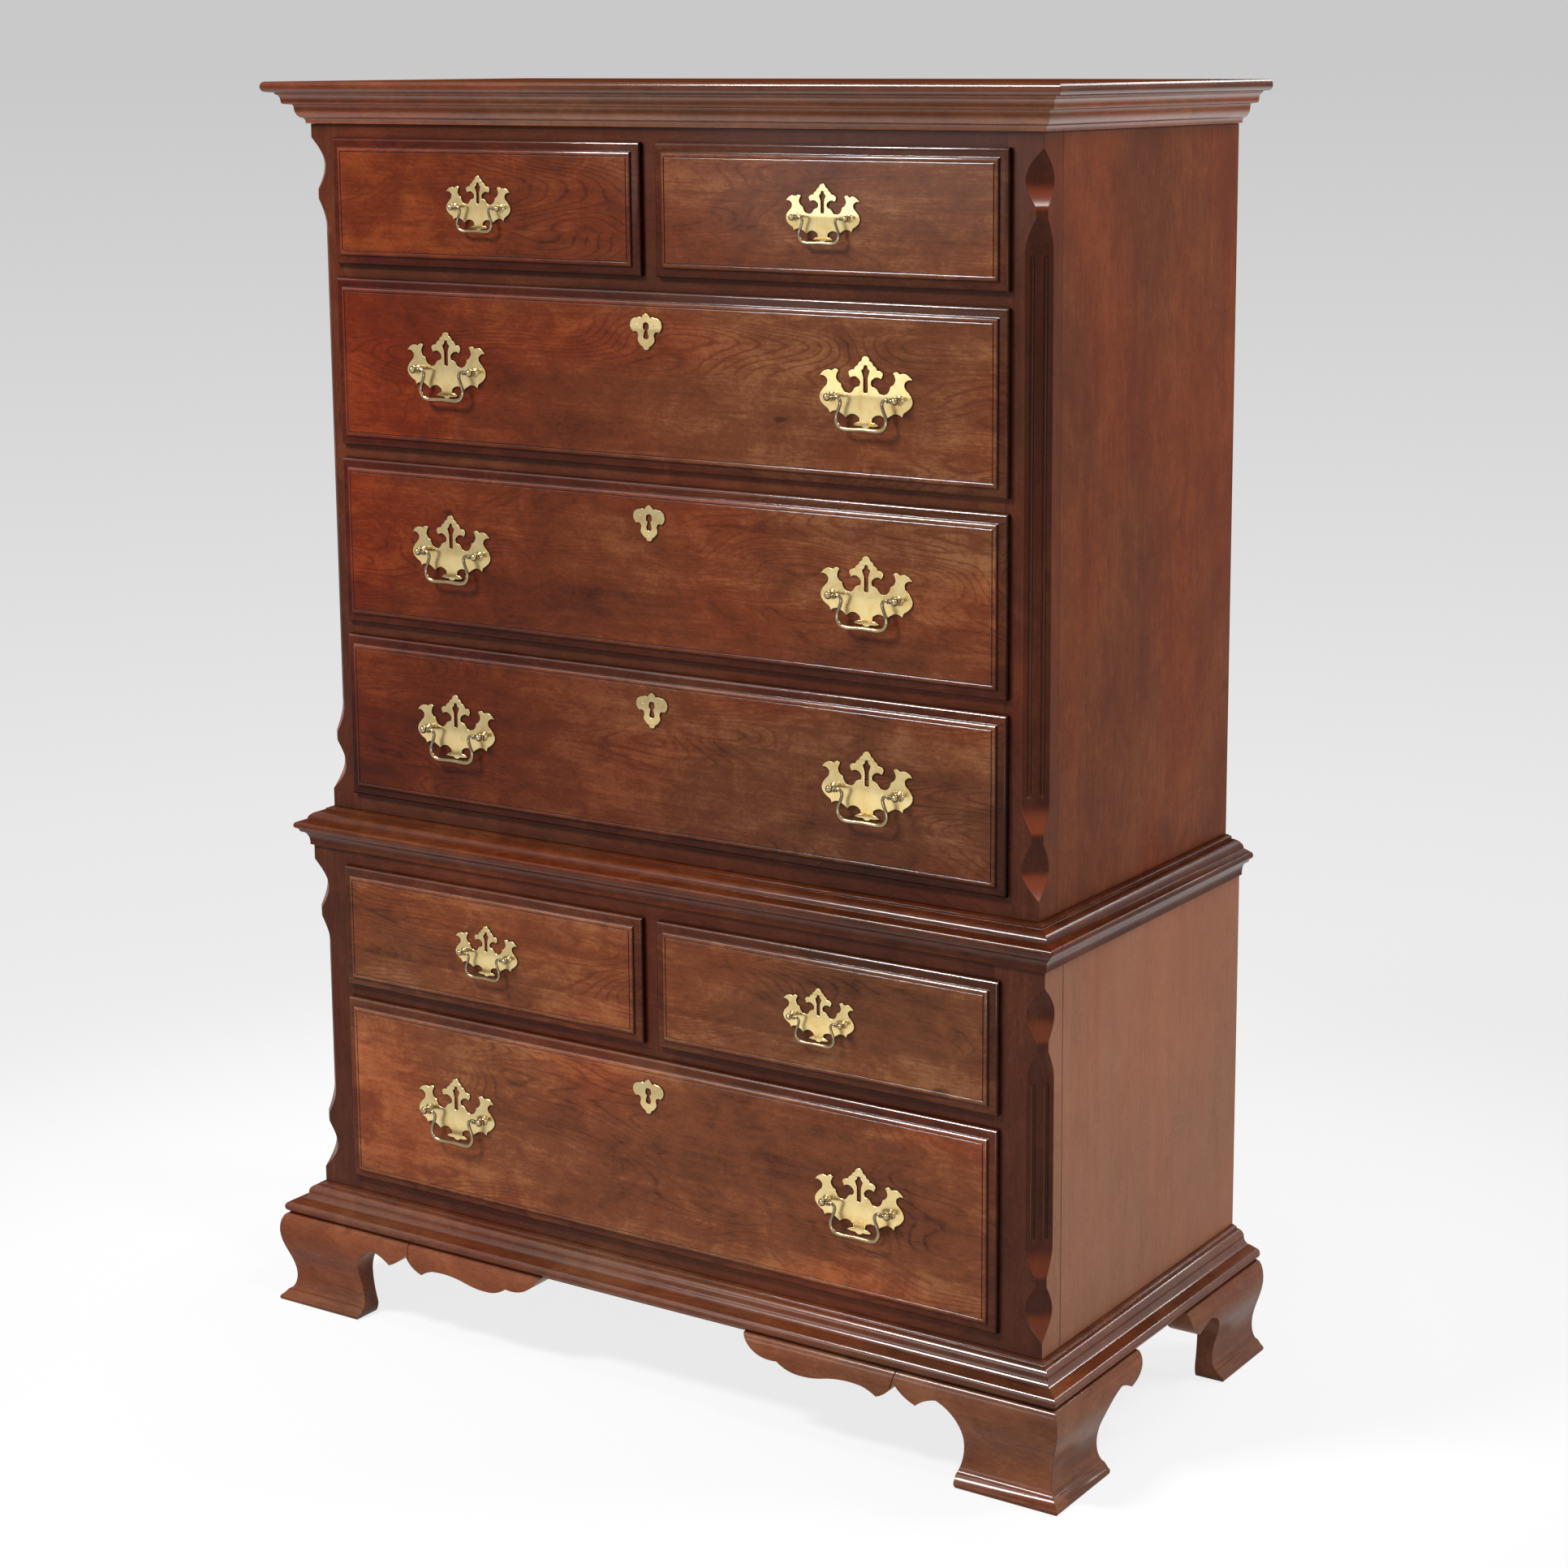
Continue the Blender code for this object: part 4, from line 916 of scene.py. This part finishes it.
def painted_haze_and_shade(n, point, base, fields):
    """Painted shade makes drawer fronts redder and darker at the upper left and darker low in the upper case,
    and a painted reflection, a pale haze, makes them browner at the right and paler in the lower case.

    Their moulded edges are darkened. fields are the y of the flat fields inside these, upper and lower case.
    """
    x, y, z = n.split(point)
    # Painted shade to the left and low in the upper case, painted reflection (a pale haze) to the right and
    # on the lower case
    haze_and_shade = n.mix(n.ramp(x, -0.38, 0.30), LEFT_PAINTED_SHADE, RIGHT_PAINTED_HAZE)
    haze_and_shade = n.mix(n.ramp(z, 0.55, 0.95), n.stain(1.0, haze_and_shade, LOW_PAINTED_SHADE), haze_and_shade)
    lower = n.mix(n.ramp(z, 0.38, 0.44), ROW6_PAINTED_HAZE, ROW5_PAINTED_HAZE)
    haze_and_shade = n.mix(n.ramp(z, 0.56, 0.62), lower, haze_and_shade)
    base = n.stain(1.0, base, haze_and_shade)
    upper_field, lower_field = fields
    field = n.plus(n.times(n.ramp(z, 0.58, 0.60), upper_field - lower_field), lower_field)
    # The moulded edges outside the flat field are darkened
    return n.stain(n.ramp(n.minus(y, field), 0.0010, 0.0022), base, LIP_DARKENING)


def glazed_and_shaded(n, base, reach, share):
    """Painted shade in recesses and along the gaps, from ambient occlusion; it stands also for glaze, or on
    brass patina, gathered there.
    """
    open_share = n.add("ShaderNodeAmbientOcclusion", {"Distance": reach}, samples=4).outputs["AO"]
    hidden = n.minus(1.0, n.ramp(open_share, 0.30, 0.92))
    return n.stain(n.times(hidden, share), base, DEEP_GLAZE_AND_SHADE)


def rounded_normal(n, radius):
    return n.add("ShaderNodeBevel", {"Radius": radius}, samples=4).outputs[0]


def raised(n, height, strength, distance, normal):
    inputs = {"Strength": strength, "Distance": distance, "Height": height, "Normal": normal}
    return n.add("ShaderNodeBump", inputs).outputs[0]


def finish_wood(n, shader, figured, rough, bump, sheen, glaze_and_shade=0.85, edge=EASED_EDGE):
    """The lacquer over a wood's (colour, height, streaks).

    sheen is the polish of flat faces, and how much more moulded upper and lower faces have.
    """
    base, height, streak = figured
    flat, upper, under = sheen
    normal = rounded_normal(n, edge)
    n.put(shader.inputs["Normal"], raised(n, height, bump, GRAIN_DEPTH, normal))
    n.put(shader.inputs["Coat Normal"], normal)
    # Painted shade in recesses and between parts, with dark glaze
    n.put(shader.inputs["Base Color"], glazed_and_shaded(n, base, GLAZE_AND_SHADE_REACH, glaze_and_shade))
    n.put(shader.inputs["Roughness"], n.plus(n.times(streak, 0.16), rough - 0.08))
    sideways, _, upwards = n.split(normal)
    moulded = n.minus(n.ramp(upwards, 0.08, 0.40), n.ramp(upwards, 0.93, 0.99))
    level = n.ramp(upwards, 0.95, 0.99)
    coat = n.minus(n.plus(n.times(moulded, upper), flat), n.times(level, flat * 0.85))
    if flat:
        shine = n.times(n.minus(1.0, level), COAT["Specular_IOR_Level"])
        n.put(shader.inputs["Specular IOR Level"], shine)
    if under:
        downwards = n.times(upwards, -1.0)
        hollow = n.minus(n.ramp(downwards, 0.10, 0.45), n.ramp(downwards, 0.93, 0.99))
        flank = n.ramp(n.size(sideways), 0.30, 0.70)
        coat = n.plus(coat, n.times(n.times(hollow, n.plus(n.times(flank, 0.6), 0.4)), under))
    n.put(shader.inputs["Coat Weight"], coat)


def cherry(name, axis, board, tones, figure=1.0, blotch=1.0, seed=0.0, rough=0.40,
           sheen=(0.07, 0.93, 0.0), fields=None):
    """Boards with their grain along the axis. Drawer fronts are given the y of their fields."""
    material, shader, n = new_material(name, **COAT)
    point = object_point(n)
    base, height, streak = wood_figure(n, along(n, point, axis), board, tones, figure, blotch, seed)
    if fields:
        # Painted light and shade on the fronts, and their darkened moulded edges
        base = painted_haze_and_shade(n, point, base, fields)
        sideways = n.size(n.split(n.add("ShaderNodeNewGeometry").outputs["Normal"])[0])
        # Painted shade on faces that turn sideways, the lips' ends
        base = n.stain(n.times(n.ramp(sideways, 0.30, 0.75), 0.75), base, END_PAINTED_SHADE)
    finish_wood(n, shader, (base, height, streak), rough, 0.35, sheen)
    return material


def frame_cherry(name, side_tones, seam, seam_depth, glow):
    """Upright grain in the posts, and level grain in the rails between them.

    The posts' outer sides match the side boards, which they meet at the seam's y; the seam is as dark
    as seam_depth says. glow is how far painted light makes the upward faces of the scoops warmer.
    """
    material, shader, n = new_material(name, **COAT)
    point = object_point(n)
    x, y, _ = n.split(point)
    outside = n.above(n.size(x), RAIL_END)
    grain = n.mix_vector(outside, along(n, point, "x"), along(n, point, "z"))
    base, height, streak = wood_figure(n, grain, 0.09, FRAME_CHERRY, 0.5, 0.8, 0.31)
    gap = n.below(n.size(n.minus(n.size(x), RAIL_END)), 0.0003)
    base = n.stain(n.times(gap, 0.55), base, JOINT_STAIN)
    sideways, _, upwards = n.split(n.add("ShaderNodeNewGeometry").outputs["Normal"])
    side_wood = wood_figure(n, along(n, point, "z"), 0.2, side_tones, 0.4, 0.6, 0.8)[0]
    base = n.mix(n.times(n.above(n.size(sideways), 0.95), outside), base, side_wood)
    # Painted light: the upward faces of the scoops made warmer
    lit_scoop = n.times(n.ramp(upwards, 0.04, 0.35), n.below(upwards, 0.97))
    base = n.mix(n.times(lit_scoop, n.times(outside, glow)), base, SCOOP_PAINTED_LIGHT)
    line = n.below(n.size(n.minus(y, seam)), 0.0010)
    base = n.stain(n.times(line, seam_depth), base, SEAM_STAIN)
    finish_wood(n, shader, (base, height, streak), 0.40, 0.3, (0.05, 0.10, 0.0), glaze_and_shade=0.7)
    return material


def run_cherry(name, tones, seed, sheen, field=RAIL_END, board=0.11, ior=1.9, crown=None):
    """Grain along the front and along the sides, mitred outside the field, with painted shade above the
    crown.
    """
    material, shader, n = new_material(name, **{**COAT, "Coat_IOR": ior})
    point = object_point(n)
    x, y, z = n.split(point)
    wide = n.size(x)
    past = n.minus(n.plus(wide, y), MITRE_LINE)
    outer = n.above(wide, field)
    side = n.times(n.above(past, 0.0), outer)
    grain = n.mix_vector(side, along(n, point, "x"), along(n, point, "y"))
    base, height, streak = wood_figure(n, grain, board, tones, 0.6, 1.0, seed)
    line = n.times(n.below(n.size(past), 0.0004), outer)
    base = n.stain(n.times(line, 0.5), base, JOINT_STAIN)
    # Painted shade above the crown
    if crown:
        base = n.stain(n.ramp(z, crown - 0.0005, crown + 0.0005), base, CROWN_PAINTED_SHADE)
    finish_wood(n, shader, (base, height, streak), 0.36, 0.3, sheen, glaze_and_shade=0.55)
    return material


def plain_wood(name, axis, tones, seed):
    """Unstained wood, with a little polish on its upper edges only."""
    material, shader, n = new_material(name, Specular_IOR_Level=0.3)
    figured = wood_figure(n, along(n, object_point(n), axis), 0.12, tones, 0.7, 0.25, seed)
    finish_wood(n, shader, figured, 0.6, 0.6, (0.0, 0.1, 0.0), edge=SAWN_EDGE)
    return material


BRASS = ((0.28, (0.82, 0.58, 0.23)), (0.50, (0.93, 0.71, 0.32)), (0.75, (0.97, 0.80, 0.42)))
# Tarnish, and painted shade on the plates
TARNISH_AND_SHADE = (0.21, 0.165, 0.110)


def brass(name, antique, dull=0.0):
    """Lacquered brass. Posts and bails are antique, darkest by the pivots, and plates are softly domed.

    Plates carry painted shade towards the left of the chest and above their middle.
    """
    material, shader, n = new_material(name, Metallic=1.0)
    info = n.add("ShaderNodeObjectInfo")
    local = object_point(n)
    where = n.add("ShaderNodeVectorMath", (local, info.outputs["Location"]), operation="ADD").outputs[0]
    _, y, z = n.split(local)
    cloud = n.noise(where, 60.0, 3.0, 0.6)
    if antique:
        tarnish_and_shade = n.plus(n.times(n.ramp(z, -0.029, -0.012), 0.16), 0.80)
    else:
        posts = n.times(n.minus(1.0, n.ramp(y, -0.0030, -0.0019)), 0.75)
        # Painted shade: plates darker towards the left of the chest and above their middles
        left = n.times(n.minus(1.0, n.ramp(n.split(info.outputs["Location"])[0], -0.30, 0.20)), 0.20)
        upper = n.times(n.ramp(z, -0.012, 0.006), 0.20)
        tarnish_and_shade = n.math("MAXIMUM", posts, n.plus(n.plus(left, upper), dull))
    base = n.mix(tarnish_and_shade, n.colours(cloud, BRASS), TARNISH_AND_SHADE)
    # Painted shade in the hollows, with patina
    n.put(shader.inputs["Base Color"], glazed_and_shaded(n, base, 0.004, 0.75))
    n.put(shader.inputs["Roughness"], n.minus(n.plus(n.times(cloud, 0.12), 0.22), n.times(tarnish_and_shade, 0.08)))
    height = n.times(n.noise(where, 42.0, 1.0), 0.00012)
    if not antique:
        below, above = n.times(z, 0.22), n.times(z, -0.03)
        height = n.plus(height, n.math("SMOOTH_MIN", below, above, 0.0012))
    n.put(shader.inputs["Normal"], raised(n, height, 1.0, 1.0, rounded_normal(n, 0.0004)))
    return material


# Studio


CAMERA_PLACE = (1.9946, -2.8997, 1.4972)
SENSOR = 36.0
FLOOR_RINGS = (2.0, 8.0, 40.0, 1000.0)
FLOOR_PAINT = (0.80, 0.80, 0.80)
# Lamps: place, what they are turned to, width and height, watts
LAMPS = {
    "key": ((-1.25, -2.05, 3.3), (-1.25, 0.0, 0.8), (1.0, 0.55), 150),
    "front": ((1.0, -2.8, 0.6), (0.0, 0.0, 0.35), (0.8, 0.6), 14),
    "window": ((-1.6, -3.4, 1.32), (0.3, -0.2, 1.2), (1.0, 0.4), 6),
    "spot": ((2.0, -0.8, 3.3), (0.5, -0.2, 1.0), (0.35, 0.35), 20),
    "side": ((2.7, 1.6, 2.1), (0.4, 0.0, 1.1), (1.0, 1.0), 58),
    "rear": ((0.9, 3.2, 3.0), (0.2, 0.0, 0.8), (1.6, 0.4), 45),
}


def add_camera():
    """The photograph's camera, for a square picture 1932 points wide."""
    side, focal, cx, cy = 1932, 3829.3108, 1052.7301, 773.0
    azimuth, pitch, roll = math.radians(32.652), math.radians(10.4309), math.radians(-0.2045)
    level = Vector((math.cos(azimuth), math.sin(azimuth), 0.0))
    way = Vector((-level.y * math.cos(pitch), level.x * math.cos(pitch), -math.sin(pitch)))
    up = level.cross(way)
    right = level * math.cos(roll) + up * math.sin(roll)
    top = up * math.cos(roll) - level * math.sin(roll)
    data = bpy.data.cameras.new("camera")
    data.sensor_width = SENSOR
    data.lens = focal / side * SENSOR
    data.shift_x = -(cx - side / 2) / side
    data.shift_y = (cy - side / 2) / side
    data.clip_start, data.clip_end = 0.05, 2000.0
    camera = bpy.data.objects.new("camera", data)
    bpy.context.scene.collection.objects.link(camera)
    turn = Matrix((right, top, -way)).transposed().to_4x4()
    camera.matrix_world = Matrix.Translation(CAMERA_PLACE) @ turn
    bpy.context.scene.camera = camera


def seen(n):
    """1 for what the camera, a reflection or a see-through surface sees."""
    path = n.add("ShaderNodeLightPath")
    total = n.plus(path.outputs["Is Camera Ray"], path.outputs["Is Glossy Ray"])
    return n.math("ADD", total, path.outputs["Is Transmission Ray"], clamp=True)


def add_floor():
    """A pale floor that runs from white by the chest to grey far off, and keeps its shadow."""
    sides = 64
    turns = [k / sides * math.tau for k in range(sides)]
    points = [(r * math.cos(a), r * math.sin(a), 0.0) for r in FLOOR_RINGS for a in turns]
    points.append((0.0, 0.0, 0.0))
    centre = len(points) - 1
    faces = [(centre, k, (k + 1) % sides) for k in range(sides)]
    for start in range(0, centre - sides, sides):
        for k in range(sides):
            a, b = start + k, start + (k + 1) % sides
            faces.append((a, a + sides, b + sides, b))
    floor = add_object("floor", mesh_from("floor", points, faces))
    floor.location.z = -0.0002
    material = bpy.data.materials.new("floor")
    material.use_nodes = True
    n = Nodes(material.node_tree)
    material.node_tree.nodes.clear()
    x, y, _ = n.split(object_point(n))
    away = n.math("SQRT", n.plus(n.times(x, x), n.times(y, y)))
    far = n.plus(n.math("DIVIDE", 1.403, n.plus(away, 3.2)), 0.580)
    near = n.times(n.minus(1.0, n.ramp(away, 0.9, 1.7)), 0.07)
    shade = n.math("MINIMUM", n.plus(far, near), 1.0)
    colour = n.vector(shade, shade, shade)
    matt = n.add("ShaderNodeBsdfDiffuse", (n.stain(1.0, colour, FLOOR_PAINT),)).outputs[0]
    glow = n.add("ShaderNodeEmission", (colour,)).outputs[0]
    share = n.times(seen(n), n.plus(n.times(n.ramp(away, 0.8, 3.0), 0.20), 0.80))
    blend = n.add("ShaderNodeMixShader", (share, matt, glow)).outputs[0]
    n.add("ShaderNodeOutputMaterial", (blend,))
    floor.data.materials.append(material)


def add_world():
    """A plain grey surround, paler where it is seen than where it lights."""
    world = bpy.data.worlds.new("studio")
    world.use_nodes = True
    bpy.context.scene.world = world
    n = Nodes(world.node_tree)
    world.node_tree.nodes.clear()
    shade = n.plus(n.times(seen(n), 0.425), 0.16)
    back = n.add("ShaderNodeBackground", (n.vector(shade, shade, shade),)).outputs[0]
    n.add("ShaderNodeOutputWorld", (back,))


def add_lamp(name, place, aim, size, power):
    data = bpy.data.lights.new(name, "AREA")
    data.shape = "RECTANGLE"
    data.size, data.size_y = size
    data.energy = power
    lamp = bpy.data.objects.new(name, data)
    bpy.context.scene.collection.objects.link(lamp)
    lamp.location = place
    lamp.rotation_euler = (Vector(aim) - Vector(place)).to_track_quat("-Z", "Y").to_euler()
    lamp.visible_camera = False


def main():
    scene = bpy.context.scene
    scene.view_settings.view_transform = "Standard"

    fields = [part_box(front)[0].y for front in ("upper_row2_front", "lower_row2_front")]
    fronts = cherry("cherry_fronts_figured", "x", 0.078, CHERRY, seed=0.017, fields=fields)
    seam = {case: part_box(case + "_face_frame")[0].y + POST_DEPTH for case in ("upper", "lower")}
    posts = {
        "upper": frame_cherry("cherry_frame", SIDE_CHERRY, seam["upper"], 0.0, 0.50),
        # The lower posts' outer sides carry the same painted haze
        "lower": frame_cherry("cherry_lower_frame", LOWER_SIDE_CHERRY_PAINTED_HAZE, seam["lower"], 0.9, 0.25),
    }
    panels = cherry(
        "cherry_panels", "z", 0.125, SIDE_CHERRY, figure=0.5, blotch=0.85, seed=0.5, rough=0.45,
        sheen=(0.04, 0.50, 0.0))
    # The lower side boards carry a painted reflection, a pale haze
    lower_panels = cherry(
        "cherry_lower_panels", "z", 0.2, LOWER_SIDE_CHERRY_PAINTED_HAZE, figure=0.3, blotch=0.4, seed=0.8, rough=0.45,
        sheen=(0.06, 0.50, 0.0))
    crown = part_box("cornice")[1].z - CORNICE[1][-1][2]
    cornice_wood = run_cherry("cherry_cornice", CORNICE_CHERRY, 0.7, (0.05, 0.10, 1.00), ior=2.4, crown=crown)
    waist_wood = run_cherry("cherry_waist", WAIST_CHERRY, 0.9, (0.04, 0.16, 0.45))
    base_wood = run_cherry("cherry_base", BASE_CHERRY, 1.3, (0.05, 0.50, 0.35))
    foot_wood = run_cherry("cherry_feet", FOOT_CHERRY, 2.1, (0.05, 0.16, 0.10), field=0.0, board=0.2)
    box_wood = plain_wood("drawer_wood_grained", "y", BOX_WOOD, seed=0.9)
    rear_wood = plain_wood("back_wood_grained", "z", BACK_WOOD, seed=0.4)
    plate_brass = brass("brass_plate", antique=False)
    bail_brass = brass("brass_bail", antique=True)
    dull_brass = brass("brass_escutcheon", antique=False, dull=0.24)

    add_moulding("cornice", CORNICE, cornice_wood)
    add_moulding("waist_moulding", WAIST, waist_wood)
    add_moulding("base_moulding", BASE, base_wood)
    for case in ("upper", "lower"):
        add_face_frame(case, posts[case])
    for place in ("front", "rear"):
        for side, word in ((-1, "left"), (1, "right")):
            add_foot(f"foot_{place}_{word}", side, foot_wood)
    for node in sorted(frame["nodes"]):
        if node.endswith("_front"):
            add_front(node, fronts)
    sizes = {"full": 1.0, "small": SMALL_PULL}
    plates = {size: plate_mesh(size + "_plate", scale, plate_brass) for size, scale in sizes.items()}
    bails = {size: bail_mesh(size + "_bail", scale, bail_brass) for size, scale in sizes.items()}
    place_brass(plates, bails, escutcheon_mesh("escutcheon", dull_brass))
    for node, obj in frame["nodes"].items():
        if not obj.hide_render:
            wood = box_wood if node.endswith("_box") else rear_wood if node.endswith("_back") else panels
            if node.startswith("lower_side"):
                wood = lower_panels
            for slot in obj.material_slots:
                slot.material = wood

    add_floor()
    add_world()
    for name, lamp in LAMPS.items():
        add_lamp(name, *lamp)
    add_camera()


main()
